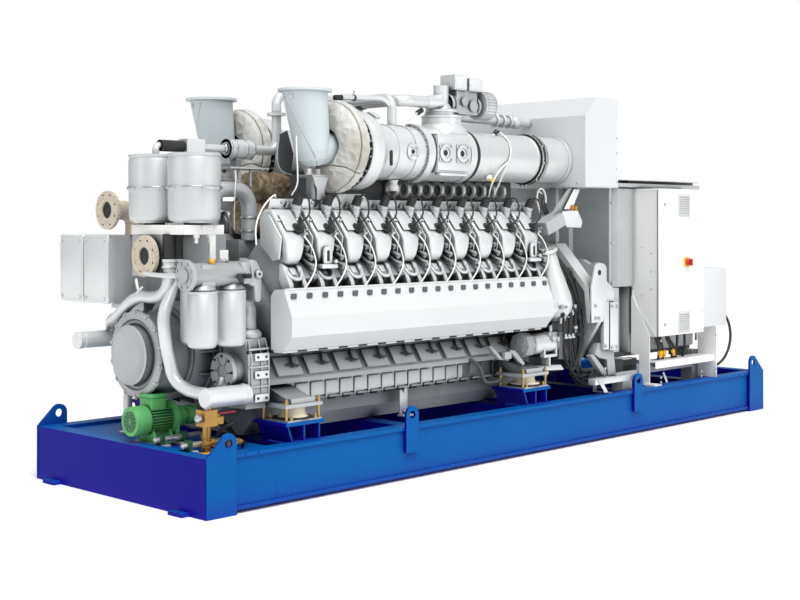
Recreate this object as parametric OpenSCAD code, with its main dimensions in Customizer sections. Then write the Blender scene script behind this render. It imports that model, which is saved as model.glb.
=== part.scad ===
// Gas engine generator set on a welded steel skid.
// X runs along the machine from the free end to the generator, Y across it, Z up.
// The origin lies on the floor under the middle of the skid.

/* [Skid] */
// Width over the side rails
skid_width = 1640; // [1560:10:2000]
// Height of the side rails
rail_height = 320; // [260:5:340]
// Width of a rail flange
flange_width = 100; // [80:5:130]
// From the free end of the skid to the first pair of cylinders
front_space = 827; // [827:1:1000]
// From the generator body to the far end of the skid
tail_space = 632; // [480:1:900]
// Diameter of the hole in a lifting lug
lug_hole_d = 50; // [40:1:60]

/* [Engine] */
// Cylinders in each bank
bank_count = 10; // [8:1:12]
// Distance between neighbouring cylinders
cylinder_pitch = 240; // [200:1:300]
// Height of the crankshaft over the floor
crank_height = 800; // [790:1:900]
// Diameter of the round cover on the free end
front_cover_d = 470; // [390:5:560]

/* [Air and exhaust] */
// Distance of each turbocharger from the middle plane
turbo_spread = 450; // [430:1:540]
// Diameter of the padded jacket round each turbine
jacket_d = 580; // [480:1:600]
// Diameter of the rim of each exhaust outlet
outlet_rim_d = 325; // [310:1:390]
// Diameter of the air pipes between the turbochargers and the intake housing
air_pipe_d = 330; // [280:2:380]
// Length of the intake air housing along the machine
hood_length = 400; // [330:5:480]
// Width of the intake air housing
hood_width = 1470; // [1300:10:1800]
// Height of the intake air housing
hood_height = 647; // [540:1:776]

/* [Oil and breather] */
// Diameter of a breather drum
drum_d = 300; // [250:1:320]
// Height of a breather drum
drum_height = 392; // [320:1:480]
// Diameter of an oil filter can
can_d = 165; // [130:1:175]
// Height of an oil filter can
can_height = 310; // [250:1:330]

/* [Generator] */
// From the last pair of cylinders to the generator body
coupling_space = 1065; // [1065:1:1300]
// Length of the generator body
generator_length = 1120; // [900:10:1400]
// Height of the generator body over its base
generator_height = 1320; // [1100:10:1600]

/* [Cabinet] */
// Width of the control cabinet
cabinet_width = 620; // [480:5:744]
// Height of the control cabinet
cabinet_height = 1105; // [880:5:1326]
// Depth of the control cabinet
cabinet_depth = 250; // [200:5:300]

/* [Hidden] */
$fn = 64;

// Places along the machine
skid_length = front_space + (bank_count - 1) * cylinder_pitch + coupling_space
    + generator_length + tail_space;
front_x = -skid_length / 2;
rear_x = skid_length / 2;
first_x = front_x + front_space;
last_x = first_x + (bank_count - 1) * cylinder_pitch;
gen_x = last_x + coupling_space;
gen_end_x = gen_x + generator_length;
block_x0 = first_x - 175;
block_x1 = last_x + 175;
half_width = skid_width / 2;

// Skid sections
rail_lift = 20;
flange_t = 20;
web_t = 16;
web_inset = 14;
end_plate_t = 16;
lug_t = 16;
inner_y = half_width - flange_width;
deck_z = rail_height - flange_t;
deck_t = 12;
beam_top = deck_z - deck_t;
beam_w = 120;
pedestal_top = rail_height + 110;
pedestal_y = half_width - 70;
pedestal_x = [first_x - 58, last_x - 108];
lug_x = [-0.2314 * skid_length, 0.1844 * skid_length];

// Heights of the engine
foot_z = pedestal_top + 100;
pan_top = crank_height - 300;
bank_tilt = 45;
deck_d = 600;
cover_d = 790;
turbo_z = crank_height + 1215;
pipe_z = turbo_z - 15;

// Places of the air path, from the outlet to the hood
outlet_x = first_x + 205;
jacket_x0 = first_x + 360;
jacket_x1 = first_x + 525;
mixer_x0 = first_x + 1155;
mixer_x1 = mixer_x0 + 360;
gas_x = mixer_x0 + 255;
clamp_x = last_x + 105;
hood_x = last_x + 465;
hood_z = crank_height + 1008;

// Running clearance between a piece and its seat
seat_gap = 0.3;

// Cabinet places
door_t = 18;
door_gap = 6;
cab_x = gen_x + 220;
cab_z = crank_height - 105;
door_y = -half_width;
cab_front_y = door_y + door_t + door_gap;
cab_back_y = door_y + cabinet_depth;

// ---- Helpers ----

module block(x0, x1, y0, y1, z0, z1) {
    translate([x0, y0, z0]) cube([x1 - x0, y1 - y0, z1 - z0]);
}

module xrod(x0, x1, y, z, r) {
    translate([x0, y, z]) rotate([0, 90, 0]) cylinder(r = r, h = x1 - x0);
}

module yrod(y0, y1, x, z, r) {
    translate([x, y1, z]) rotate([90, 0, 0]) cylinder(r = r, h = y1 - y0);
}

module zrod(z0, z1, x, y, r) {
    translate([x, y, z0]) cylinder(r = r, h = z1 - z0);
}

// Extrudes an outline in Y and Z along X
module along_x(x0, x1) {
    translate([x0, 0, 0]) rotate([90, 0, 90]) linear_extrude(x1 - x0) children();
}

// Extrudes an outline in X and Z along Y
module along_y(y0, y1) {
    translate([0, y1, 0]) rotate([90, 0, 0]) linear_extrude(y1 - y0) children();
}

// Turns an outline (radius, distance) round an axis along X
module turned_x(x, y, z) {
    translate([x, y, z]) rotate([0, 90, 0]) rotate_extrude() children();
}

module both_sides() {
    children();
    mirror([0, 1, 0]) children();
}

module rounded_square(w, h, r) {
    square([w - 2 * r, h], center = true);
    square([w, h - 2 * r], center = true);
    for (i = [-1, 1], j = [-1, 1])
        translate([i * (w / 2 - r), j * (h / 2 - r)]) circle(r);
}

// Puts children in the frame of the near bank: z out along the bores, y towards the vee
module near_bank() {
    translate([0, 0, crank_height]) rotate([bank_tilt, 0, 0]) children();
}

// A round pipe through a list of points, with a swept bend at each inner point
module pipe(points, r, bend) {
    last = len(points) - 1;
    for (i = [0:last - 1]) {
        a = points[i];
        b = points[i + 1];
        d = (b - a) / norm(b - a);
        cut_a = i == 0 ? 0 : bend_cut(points[i - 1], a, b, bend);
        cut_b = i == last - 1 ? 0 : bend_cut(a, b, points[i + 2], bend);
        translate(a + d * cut_a)
            rotate([0, acos(d.z), atan2(d.y, d.x)])
                cylinder(r = r, h = norm(b - a) - cut_a - cut_b);
    }
    if (last > 1)
        for (i = [1:last - 1]) swept_bend(points[i - 1], points[i], points[i + 1], r, bend);
}

function unit(v) = v / norm(v);
function turn_angle(a, b, c) = acos(min(1, unit(b - a) * unit(c - b)));
function bend_cut(a, b, c, bend) = bend * tan(turn_angle(a, b, c) / 2);

module swept_bend(a, b, c, r, bend) {
    t = unit(b - a);
    out = unit(c - b);
    m = unit(out - (out * t) * t);
    n = cross(t, m);
    centre = b - t * bend_cut(a, b, c, bend) + m * bend;
    multmatrix([[-m.x, t.x, n.x, centre.x],
                [-m.y, t.y, n.y, centre.y],
                [-m.z, t.z, n.z, centre.z],
                [0, 0, 0, 1]])
        rotate_extrude(angle = turn_angle(a, b, c)) translate([bend, 0]) circle(r);
}

// A point on the curve from a to d that leaves towards b and arrives from c
function curve_point(a, b, c, d, t) = a * (1 - t) ^ 3 + 3 * b * t * (1 - t) ^ 2
    + 3 * c * t ^ 2 * (1 - t) + d * t ^ 3;

// A tube of flat faces along a route that never runs along the direction side
module tube(route, r, side) {
    n = len(route);
    sides = 10;
    step = 360 / sides;
    along = [for (i = [0:n - 1]) unit(route[min(i + 1, n - 1)] - route[max(i - 1, 0)])];
    rings = [for (i = [0:n - 1]) let (u = unit(cross(along[i], side)), v = cross(along[i], u))
        for (k = [0:sides - 1]) route[i] + r * (cos(step * k) * u + sin(step * k) * v)];
    walls = [for (i = [0:n - 2], k = [0:sides - 1])
        let (a = i * sides + k, b = i * sides + (k + 1) % sides)
            each [[a, a + sides, b], [b, a + sides, b + sides]]];
    ends = [[for (k = [0:sides - 1]) k], [for (k = [sides - 1:-1:0]) (n - 1) * sides + k]];
    polyhedron(rings, concat(walls, ends));
}

// ---- Skid ----

module rail_profile() {
    web_y0 = -half_width + web_inset;
    web_y1 = web_y0 + web_t;
    low_z = rail_lift + flange_t;
    polygon([[-half_width, rail_lift], [-inner_y, rail_lift], [-inner_y, low_z],
        [web_y1, low_z], [web_y1, deck_z], [-inner_y, deck_z], [-inner_y, rail_height],
        [-half_width, rail_height], [-half_width, deck_z], [web_y0, deck_z],
        [web_y0, low_z], [-half_width, low_z]]);
}

module side_rails() {
    color("#0065B3") both_sides()
        along_x(front_x + end_plate_t, rear_x - end_plate_t) rail_profile();
}

// A plate over the full width, with two flanges behind it and two bolting tabs at the floor
module end_beam() {
    tab_y = half_width - 195;
    block(front_x, front_x + end_plate_t, -half_width, half_width, 0, rail_height);
    for (z = [0, deck_z])
        block(front_x + end_plate_t, front_x + flange_width, -inner_y, inner_y, z, z + flange_t);
    for (y = [-tab_y, tab_y])
        difference() {
            block(front_x - 50, front_x, y - 60, y + 60, 0, flange_t);
            zrod(-1, flange_t + 1, front_x - 25, y, 11);
        }
}

module end_beams() {
    color("#0065B3") {
        end_beam();
        mirror([1, 0, 0]) end_beam();
    }
}

// Beams between the rails, and the deck plate over the free end
module cross_beams() {
    deck_y = half_width - web_inset - web_t;
    color("#0065B3") {
        for (x = [0, front_x + 350, pedestal_x[0], pedestal_x[1], -0.2 * skid_length,
                gen_x + 60, gen_end_x - 100])
            block(x - beam_w / 2, x + beam_w / 2, -inner_y, inner_y, 0, beam_top);
        block(front_x + end_plate_t, first_x - 250, -deck_y, deck_y, beam_top, deck_z);
    }
}

// Plate on a corner: its top slopes from the end of the skid up to the eye
module corner_lug(eye_x, eye_z, back_x) {
    eye_r = abs(back_x - eye_x);
    side = back_x > eye_x ? 1 : -1;
    end_x = side > 0 ? front_x : rear_x;
    along_y(-half_width - lug_t, -half_width) difference() {
        union() {
            polygon([[end_x, 0], [end_x, rail_height],
                [eye_x - side * eye_r * 0.7, eye_z + eye_r * 0.714], [eye_x, eye_z],
                [back_x, eye_z], [back_x, 0]]);
            translate([eye_x, eye_z]) circle(eye_r);
        }
        translate([eye_x, eye_z]) circle(d = lug_hole_d);
    }
}

// Plate on the side of a rail, round over the eye
module side_lug(x) {
    eye_z = rail_height + 72;
    foot_z = rail_height - 155;
    half = 54;
    along_y(-half_width - lug_t, -half_width) difference() {
        union() {
            translate([x - half, foot_z]) square([2 * half, eye_z - foot_z]);
            translate([x, eye_z]) circle(half);
        }
        translate([x, eye_z]) circle(d = lug_hole_d);
    }
}

module lifting_lugs() {
    color("#0065B3") both_sides() {
        corner_lug(front_x + 147, rail_height + 65, front_x + 202);
        corner_lug(rear_x - 167, rail_height + 80, rear_x - 222);
        for (x = lug_x) side_lug(x);
    }
}

// Stand for an engine foot: a sloped box, open to the side, under a wider plate
module pedestal(x) {
    top_t = 20;
    wall = 12;
    color("#0065B3") {
        block(x - 147, x + 147, -pedestal_y, -pedestal_y + 280, pedestal_top - top_t, pedestal_top);
        along_y(-pedestal_y + 10, -pedestal_y + 270) difference() {
            polygon([[x - 95, rail_height], [x + 120, rail_height],
                [x + 120, pedestal_top - top_t], [x - 130, pedestal_top - top_t]]);
            polygon([[x - 95 + wall, rail_height], [x + 120 - wall, rail_height],
                [x + 120 - wall, pedestal_top - top_t], [x - 130 + wall, pedestal_top - top_t]]);
        }
        block(x - wall / 2, x + wall / 2, -pedestal_y + 10, -pedestal_y + 270,
            rail_height, pedestal_top - top_t);
        block(x - 95, x + 120, -inner_y, -pedestal_y + 270, beam_top, rail_height);
    }
}

module pedestals() {
    both_sides() for (x = pedestal_x) pedestal(x);
}

// ---- Engine mounts ----

isolator_y = pedestal_y - 110;

module isolator_rubbers() {
    color("#E8DFC8") both_sides() for (x = pedestal_x)
        translate([x, -isolator_y, pedestal_top + 10]) cylinder(r1 = 100, r2 = 78, h = 70);
}

module isolator_plates() {
    color("#B9BCBF") both_sides() for (x = pedestal_x) {
        block(x - 130, x + 130, -isolator_y - 105, -isolator_y + 105, pedestal_top, pedestal_top + 10);
        block(x - 140, x + 140, -isolator_y - 100, -isolator_y + 140, foot_z - 20, foot_z);
    }
}

module engine_feet() {
    color("#A9ACAF") both_sides() for (x = pedestal_x)
        along_x(x - 90, x + 90) polygon([[-isolator_y - 90, foot_z], [-450, foot_z],
            [-450, pan_top + 110], [-520, pan_top + 110], [-isolator_y - 40, foot_z + 30],
            [-isolator_y - 90, foot_z + 30]]);
}

// ---- Engine ----

head_half = 175;

// Where a point of the near bank's own frame lies in Y and Z over the crankshaft
function bank_point(y, z) = [(y - z) * sqrt(0.5), (y + z) * sqrt(0.5)];

function other_side(outline) = [for (i = [len(outline) - 1:-1:0]) [-outline[i].x, outline[i].y]];

module oil_pan() {
    bottom = max(beam_top + 22, pan_top - 190);
    color("#8F9396") along_x(first_x - 150, last_x + 150)
        polygon([[-380, pan_top], [380, pan_top], [380, pan_top - 100], [300, bottom],
            [-300, bottom], [-380, pan_top - 100]]);
}

// Near half of the block's outline, from the bottom up to the vee
half_block = [[-450, -300], [-450, -185], [-560, -175], [-560, -150], [-475, -25],
    [-475, 0], [-620, 15], [-620, 260], bank_point(-head_half, deck_d),
    bank_point(head_half, deck_d), [-160, 410]];

module crankcase() {
    color("#A4A7AA") translate([0, 0, crank_height])
        along_x(block_x0, block_x1) polygon(concat(half_block, other_side(half_block)));
}

module crankcase_covers() {
    band_pitch = cylinder_pitch / 2;
    band_count = 2 * bank_count - 7;
    band_x0 = first_x + 40;
    color("#B2B5B8") both_sides() {
        for (i = [0:bank_count - 1])
            translate([first_x + i * cylinder_pitch, -517.5, crank_height - 87.5])
                rotate([-atan2(85, 125), 0, 0]) translate([0, -8, 0])
                    cube([cylinder_pitch - 50, 16, 118], center = true);
        // Notched band along the joint of block and pan
        difference() {
            block(band_x0, band_x0 + band_count * band_pitch, -470, -450, pan_top, pan_top + 112);
            for (i = [0:band_count - 1])
                block(band_x0 + i * band_pitch + 40, band_x0 + i * band_pitch + 75,
                    -471, -449, pan_top - 1, pan_top + 20);
        }
    }
}

gearcase_y = 395;

module front_gearcase() {
    color("#A4A7AA") {
        translate([0, 0, crank_height]) along_x(block_x0 - 150, block_x0)
            polygon([[-280, -350], [-gearcase_y, -240], [-gearcase_y, 160], [-310, 275], [310, 275],
                [gearcase_y, 160], [gearcase_y, -240], [280, -350]]);
        xrod(block_x0 - 300, block_x0 - 150, 0, crank_height, front_cover_d / 2 + 35);
        xrod(block_x0 - 500, block_x0 - 300, 0, crank_height, front_cover_d / 2);
        xrod(block_x0 - 550, block_x0 - 500, 0, crank_height, front_cover_d / 2 - 68);
    }
}

module cylinder_heads() {
    color("#A9ACAF") both_sides() near_bank() for (i = [0:bank_count - 1])
        block(first_x + i * cylinder_pitch - cylinder_pitch / 2 + 8,
            first_x + i * cylinder_pitch + cylinder_pitch / 2 - 8,
            -head_half, head_half, deck_d, cover_d);
}

// The covers stand a little ahead of the cylinders, as each bank is set along the crankshaft
function cover_x(i) = first_x + i * cylinder_pitch - 60;

// The sloped outer face of a rocker cover, where the plug connector sits
plug_face = [[-664, 680], [-605, 750]];

// Cover over the valves, with a ridge along its top
module rocker_covers() {
    half = 76;
    base_d = cover_d + 0.1;
    inner = bank_point(head_half, base_d);
    color("#BCBFC2") translate([0, 0, crank_height]) both_sides() for (i = [0:bank_count - 1])
        along_x(cover_x(i) - half, cover_x(i) + half)
            polygon(concat([bank_point(-150, base_d)], plug_face,
                [[-545, 832], [-470, 832], [-430, 780], inner]));
}

coil_y = -531;
coil_r = 31;
coil_h = 100;
ridge_z = crank_height + 832;

module coil_rails() {
    color("#C4C7CA") both_sides() {
        block(cover_x(0) - 50, last_x + 90, -486, -480, ridge_z, ridge_z + 62);
        for (i = [0:bank_count - 1])
            block(coil_place(i).x - 18, coil_place(i).x + 18, coil_y + coil_r, -486,
                ridge_z + 15, ridge_z + 45);
    }
}

function coil_place(i) = [cover_x(i) + cylinder_pitch / 2, coil_y, ridge_z - 32];

// How the plug connectors stand on the covers: middle, direction and height
plug_slope = plug_face[1] - plug_face[0];
plug_middle = (plug_face[0] + plug_face[1]) / 2;
plug_out = [0, -plug_slope.y, plug_slope.x] / norm(plug_slope);
plug_h = 42;

function plug_place(i) = [cover_x(i) + 30, plug_middle.x, crank_height + plug_middle.y];

// A coil beside each cylinder and the plug connector on its cover
module ignition_coils() {
    color("#2A2B2D") both_sides() for (i = [0:bank_count - 1]) {
        translate(coil_place(i)) cylinder(r = coil_r, h = coil_h);
        translate(plug_place(i)) rotate([atan2(plug_slope.y, plug_slope.x), 0, 0])
            cylinder(r = 20, h = plug_h);
    }
}

// From the top of each coil over and down to the plug connector
module ignition_leads() {
    color("#1D1E20") both_sides() for (i = [0:bank_count - 1]) {
        top = coil_place(i) + [0, 0, coil_h];
        tip = plug_place(i) + plug_h * plug_out;
        start = top + [0, 0, 8];
        end = tip + 8 * plug_out;
        tube(concat([top], [for (t = [0:0.2:1])
            curve_point(start, start + [0, 0, 55], end + 60 * plug_out, end, t)], [tip]), 7, [1, 0, 0]);
    }
}

// Six-sided wiring duct along the lower edge of the heads
module cable_ducts() {
    color("#B7BABD") both_sides() translate([0, 0, crank_height])
        along_x(block_x0 - 30, last_x + 10)
            polygon([[-620, 35], [-735, 35], [-800, 115], [-800, 225], [-735, 375],
                [-650, 375], [-620, 340]]);
}

charge_top = 650;

module charge_manifold() {
    floor_left = [-160, 410.2];
    deck = bank_point(head_half, deck_d) + [0, 0.2];
    shoulder = floor_left + (deck - floor_left) * 0.3;
    half = [[-200, charge_top], [-200, shoulder.y + 40], shoulder, floor_left];
    color("#9EA2A5") translate([0, 0, crank_height]) along_x(block_x0 + 80, block_x1 - 80)
        polygon(concat(half, other_side(half)));
}

exhaust_y = 290;
exhaust_z = crank_height + 790;

module exhaust_manifolds() {
    riser_x = jacket_x0 + 85;
    across = (exhaust_z - crank_height - exhaust_y) * sqrt(0.5);
    color("#B9AF9C") both_sides() {
        xrod(riser_x - 80, last_x + 60, -exhaust_y, exhaust_z, 100);
        for (i = [2:bank_count - 1])
            xrod(first_x + i * cylinder_pitch - 150, first_x + i * cylinder_pitch - 90,
                -exhaust_y, exhaust_z, 116);
        near_bank() for (i = [2:bank_count - 1])
            yrod(head_half, across, first_x + i * cylinder_pitch, cover_d - 40, 35);
        difference() {
            zrod(exhaust_z, turbo_z - 100, riser_x, -exhaust_y, 65);
            turbine_solid(jacket_d / 2 + seat_gap);
        }
    }
}

// ---- Turbochargers and exhaust outlets ----

module turbine_solid(r) {
    turned_x(jacket_x0, -turbo_spread, turbo_z)
        polygon([[0, 45], [158, 45], [158, 0], [r - 75, 0], [r - 22, 35], [r, 80], [r, 125],
            [r - 25, jacket_x1 - jacket_x0], [0, jacket_x1 - jacket_x0]]);
}

module turbine_jackets() {
    color("#DCD8CC") both_sides() difference() {
        turbine_solid(jacket_d / 2);
        turned_x(jacket_x0 - 1, -turbo_spread, turbo_z) polygon([[0, 0], [158, 0], [158, 46], [0, 46]]);
    }
}

outlet_lean = 60;
outlet_low = [outlet_x + outlet_lean, -turbo_spread, turbo_z - 25];
outlet_low_r = outlet_rim_d / 2 - 54.5;

// Leaning cone under a level rim, with a rounded bottom that opens towards the turbine
module outlet_shape(shrink) {
    drop = 345;
    low_r = outlet_low_r - shrink;
    intersection() {
        translate(outlet_low) rotate([0, -atan2(outlet_lean, drop), 0]) {
            cylinder(r1 = low_r, r2 = low_r + 29, h = drop * 1.08);
            for (a = [0, 30])
                translate([0, 0, -low_r * sin(a + 30)])
                    cylinder(r1 = low_r * cos(a + 30), r2 = low_r * cos(a),
                        h = low_r * (sin(a + 30) - sin(a)));
        }
        block(outlet_x - 300, outlet_x + 300, -turbo_spread - 200, -turbo_spread + 200,
            outlet_low.z - 200, turbo_z + 328);
    }
    xrod(outlet_low.x + 20, jacket_x0 + 44, -turbo_spread, outlet_low.z + 10, low_r - 9);
}

module exhaust_outlet_near() {
    wall = 5;
    r = outlet_rim_d / 2;
    top_z = turbo_z + 335;
    color("#CBD3D6") {
        difference() {
            outlet_shape(0);
            outlet_shape(wall);
        }
        difference() {
            zrod(top_z - 15, top_z, outlet_x, -turbo_spread, r);
            zrod(top_z - 16, top_z + 1, outlet_x, -turbo_spread, r - 36.5);
        }
    }
}

module exhaust_outlet_far() {
    mirror([0, 1, 0]) exhaust_outlet_near();
}

// Compressor: its rear plate, the rounded spiral casing and the inlet pipe with its collar
module turbochargers() {
    color("#B9BCBF") both_sides() {
        turned_x(jacket_x1, -turbo_spread, pipe_z)
            polygon([[0, 0], [150, 0], [150, 20], [215, 20], [238, 36], [245, 60], [245, 110],
                [236, 136], [215, 150], [200, 152], [184, 200], [176, 260], [172, 300],
                [172, mixer_x0 - 60 - jacket_x1], [0, mixer_x0 - 60 - jacket_x1]]);
    }
}

module air_pipes() {
    r = air_pipe_d / 2;
    color("#C2C5C8") {
        both_sides() {
            xrod(mixer_x1 + 95, clamp_x, -turbo_spread, pipe_z, r);
            xrod(clamp_x + 70, hood_x, -turbo_spread, pipe_z, r);
        }
        // Bypass pipe into the hood
        pipe([[mixer_x1 + 130, -turbo_spread + 100, pipe_z + 60],
            [mixer_x1 + 130, -turbo_spread + 100, pipe_z + 285],
            [mixer_x1 + 130, -turbo_spread + 230, pipe_z + 285],
            [hood_x, -turbo_spread + 230, pipe_z + 285]], 32, 60);
    }
}

neck_z = pipe_z + 276;

module gas_mixers() {
    r = air_pipe_d / 2;
    color("#B4B7BA") both_sides() {
        xrod(mixer_x0, mixer_x1, -turbo_spread, pipe_z, r + 10);
        block(mixer_x0 + 20, mixer_x1 - 20, -turbo_spread - 185, -turbo_spread - 60,
            pipe_z - 125, pipe_z + 125);
        xrod(mixer_x0 - 60, mixer_x0, -turbo_spread, pipe_z, r + 25);
        xrod(mixer_x1, mixer_x1 + 60, -turbo_spread, pipe_z, r + 14);
        translate([gas_x, -turbo_spread, pipe_z]) cylinder(r1 = 150, r2 = 100, h = 245);
        zrod(pipe_z + 245, neck_z, gas_x, -turbo_spread, 110);
    }
}

// Black rubber rings and sleeves of the air path and the breather, and the two short hoses
// over the coolant pipes
module pipe_joints() {
    r = air_pipe_d / 2;
    color("#2B2C2E") {
        both_sides() {
            xrod(mixer_x1 + 60, mixer_x1 + 95, -turbo_spread, pipe_z, r + 10);
            xrod(clamp_x, clamp_x + 70, -turbo_spread, pipe_z, r + 12);
        }
        xrod(breather_x, breather_x + 165, breather_y, breather_z, 34);
        for (p = [near_line[0], far_line[0]])
            zrod(crank_height + coolant_line_top, shelf_z, first_x + p.x, p.y, coolant_line_r - 5);
    }
}

module gas_train() {
    z = neck_z + 64;
    side_x = gas_x - 385;
    color("#C4C7CA") {
        both_sides() {
            zrod(neck_z, neck_z + 20, gas_x, -turbo_spread, 100);
            zrod(neck_z + 20, neck_z + 182, gas_x, -turbo_spread, 50);
            translate([gas_x - 150, -turbo_spread, z]) rotate([0, 90, 0])
                cylinder(r1 = 39, r2 = 62, h = 120);
        }
        pipe([[gas_x, -turbo_spread, z], [side_x, -turbo_spread, z],
            [side_x, turbo_spread, z], [gas_x, turbo_spread, z]], 38, 90);
        // Gas valve beside the near mixer, with its two drives and a ribbed end
        xrod(gas_x + 45, gas_x + 85, -turbo_spread, z, 62);
        xrod(gas_x + 85, gas_x + 360, -turbo_spread, z, 48);
        block(gas_x + 95, gas_x + 300, -turbo_spread - 55, -turbo_spread + 55, z - 60, z + 95);
        block(gas_x + 60, gas_x + 178, -turbo_spread - 70, -turbo_spread + 60, z + 95, z + 195);
        block(gas_x + 205, gas_x + 335, -turbo_spread - 70, -turbo_spread + 60, z + 95, z + 180);
        xrod(gas_x + 360, gas_x + 470, -turbo_spread, z + 10, 96);
    }
}

module air_hood() {
    top = hood_z + hood_height;
    color("#D2D4D5") along_y(-hood_width / 2, hood_width / 2)
        polygon([[hood_x, hood_z], [hood_x, top - 137], [hood_x + 125, top],
            [hood_x + hood_length, top], [hood_x + hood_length, hood_z]]);
}

// Stands under the hood, the exhaust outlets and the breather valve
module pipe_brackets() {
    post_x = outlet_x + 70;
    web_y = -turbo_spread - 50;
    saddle_x = breather_x + 560;
    leg_z = crank_height + sqrt(rear_r * rear_r - 300 * 300) + seat_gap;
    color("#8F9396") {
        both_sides() {
            block(last_x + 505, last_x + 545, -440, -380, hoop_top, hood_z);
            block(last_x + 770, last_x + 820, -360, -300, leg_z, hood_z);
            block(post_x - 45, post_x + 45, web_y, web_y + 20, ridge_z + 62, turbo_z - 185);
            block(post_x - 65, post_x + 65, -turbo_spread - 60, -turbo_spread + 60,
                turbo_z - 185, turbo_z - 175);
            difference() {
                for (i = [-1, 1])
                    zrod(turbo_z - 175, turbo_z - 100, post_x + 35 * i, -turbo_spread, 12);
                outlet_shape(-seat_gap);
            }
        }
        block(saddle_x - 175, saddle_x + 125, breather_y - 170, breather_y + 30,
            breather_z - 125, breather_z - 115);
        difference() {
            block(saddle_x - 20, saddle_x + 20, breather_y - 30, breather_y + 30,
                breather_z - 115, breather_z);
            xrod(saddle_x - 60, saddle_x + 60, breather_y, breather_z, 59);
        }
        difference() {
            for (i = [0, 1])
                zrod(breather_z - 260, breather_z - 125, saddle_x - 90 * i, arch_y, 8);
            arch_shape();
        }
    }
}

// ---- Free end ----

shelf_z = crank_height + 690;
housing_z0 = crank_height + 450;
drum_x = first_x - 545;
drum_y = -200;
breather_x = first_x - 560;
breather_y = -50;
breather_z = crank_height + 1200;

module breather_drums() {
    r = drum_d / 2;
    color("#C9CBCC") for (i = [-1, 1])
        translate([drum_x - 20 - 20 * i, drum_y + i * (r + 10), shelf_z + 63]) rotate_extrude()
            polygon([[0, 0], [r - 25, 0], [r, 25], [r, drum_height - 25], [r - 25, drum_height],
                [0, drum_height]]);
}

// From the far drum along the engine, through the valve, up and over to the air inlet
module breather_pipes() {
    drum_top = shelf_z + 63 + drum_height;
    valve_x0 = breather_x + 485;
    up_x = outlet_x + 120;
    inlet_x = mixer_x0 - 210;
    high = breather_z + 350;
    color("#C4C7CA") {
        pipe([[drum_x - 40, breather_y, drum_top], [drum_x - 40, breather_y, breather_z],
            [breather_x, breather_y, breather_z]], 20, 24);
        block(breather_x + 165, breather_x + 295, breather_y - 45, breather_y + 45,
            breather_z - 45, breather_z + 45);
        xrod(breather_x + 295, valve_x0, breather_y, breather_z, 22);
        xrod(valve_x0, valve_x0 + 190, breather_y, breather_z, 59);
        difference() {
            pipe([[valve_x0 + 190, breather_y, breather_z], [up_x, breather_y, breather_z],
                [up_x, breather_y, high], [inlet_x, breather_y, high],
                [inlet_x, -turbo_spread, high], [inlet_x, -turbo_spread, pipe_z + 100]], 30, 62);
            xrod(inlet_x - 100, inlet_x + 100, -turbo_spread, pipe_z, 172);
        }
        zrod(breather_z + 220, breather_z + 238, up_x, breather_y, 58);
    }
}

// Housing for the thermostats, with the shelf that carries the drums
module coolant_housing() {
    x0 = first_x - 675;
    color("#A9ACAF") {
        block(x0, first_x - 225, -240, 50, housing_z0, shelf_z);
        block(first_x - 315, block_x0, -150, 50, crank_height + 275, housing_z0);
        difference() {
            block(x0, first_x - 400, -440, 60, shelf_z, shelf_z + 50);
            arch_shape();
        }
        for (i = [-1, 1])
            zrod(shelf_z + 50, shelf_z + 63, drum_x - 20 - 20 * i, drum_y + i * (drum_d / 2 + 10), 60);
    }
}

arch_x0 = first_x - 300;
arch_y = -190;

module arch_shape() {
    pipe([[arch_x0, arch_y, shelf_z], [arch_x0, arch_y, shelf_z + 260],
        [arch_x0 + 290, arch_y, shelf_z + 260], [arch_x0 + 290, arch_y, crank_height + charge_top]],
        65, 110);
}

module coolant_arch() {
    color("#8F9396") arch_shape();
}

// Quilted padding round the crossover between the banks
module vee_padding() {
    color("#B9AF9C")
        xrod(arch_x0 + 380, arch_x0 + 700, 40, crank_height + charge_top + 130 + seat_gap, 130);
}

can_y = -600;
filter_z = crank_height + 470;

module oil_filters() {
    top = crank_height + 383;
    x0 = first_x - 780;
    x1 = first_x - 385;
    color("#C9CBCC") for (p = [[first_x - 673, can_y], [first_x - 475, can_y], [first_x - 542, -362]]) {
        zrod(top - can_height, top, p.x, p.y, can_d / 2);
        zrod(top, filter_z - 30, p.x, p.y, 45);
    }
    color("#A9ACAF") {
        xrod(x0, x1, can_y, filter_z, 65);
        xrod(x0 - 15, x0, can_y, filter_z, 86);
        block(first_x - 650, first_x - 500, can_y, -400, filter_z - 35, filter_z + 30);
        block(first_x - 560, first_x - 500, -400, -241, filter_z - 35, filter_z + 30);
        block(x1, x1 + 30, can_y - 45, -500, crank_height + 105, filter_z + 45);
    }
}

module coolant_pump() {
    x0 = first_x - 365;
    color("#B2B5B8") {
        block(x0, block_x0 - 45, can_y + 10, -gearcase_y, crank_height - 290, crank_height + 105);
        block(x0, block_x0 - 35, -615, -gearcase_y, crank_height - 250, crank_height + 20);
        xrod(x0 - 75, x0, -480, crank_height - 80, 95);
        translate([x0 + 75, -520, crank_height + 105]) cylinder(r1 = 48, r2 = 40, h = 65);
    }
}

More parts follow.
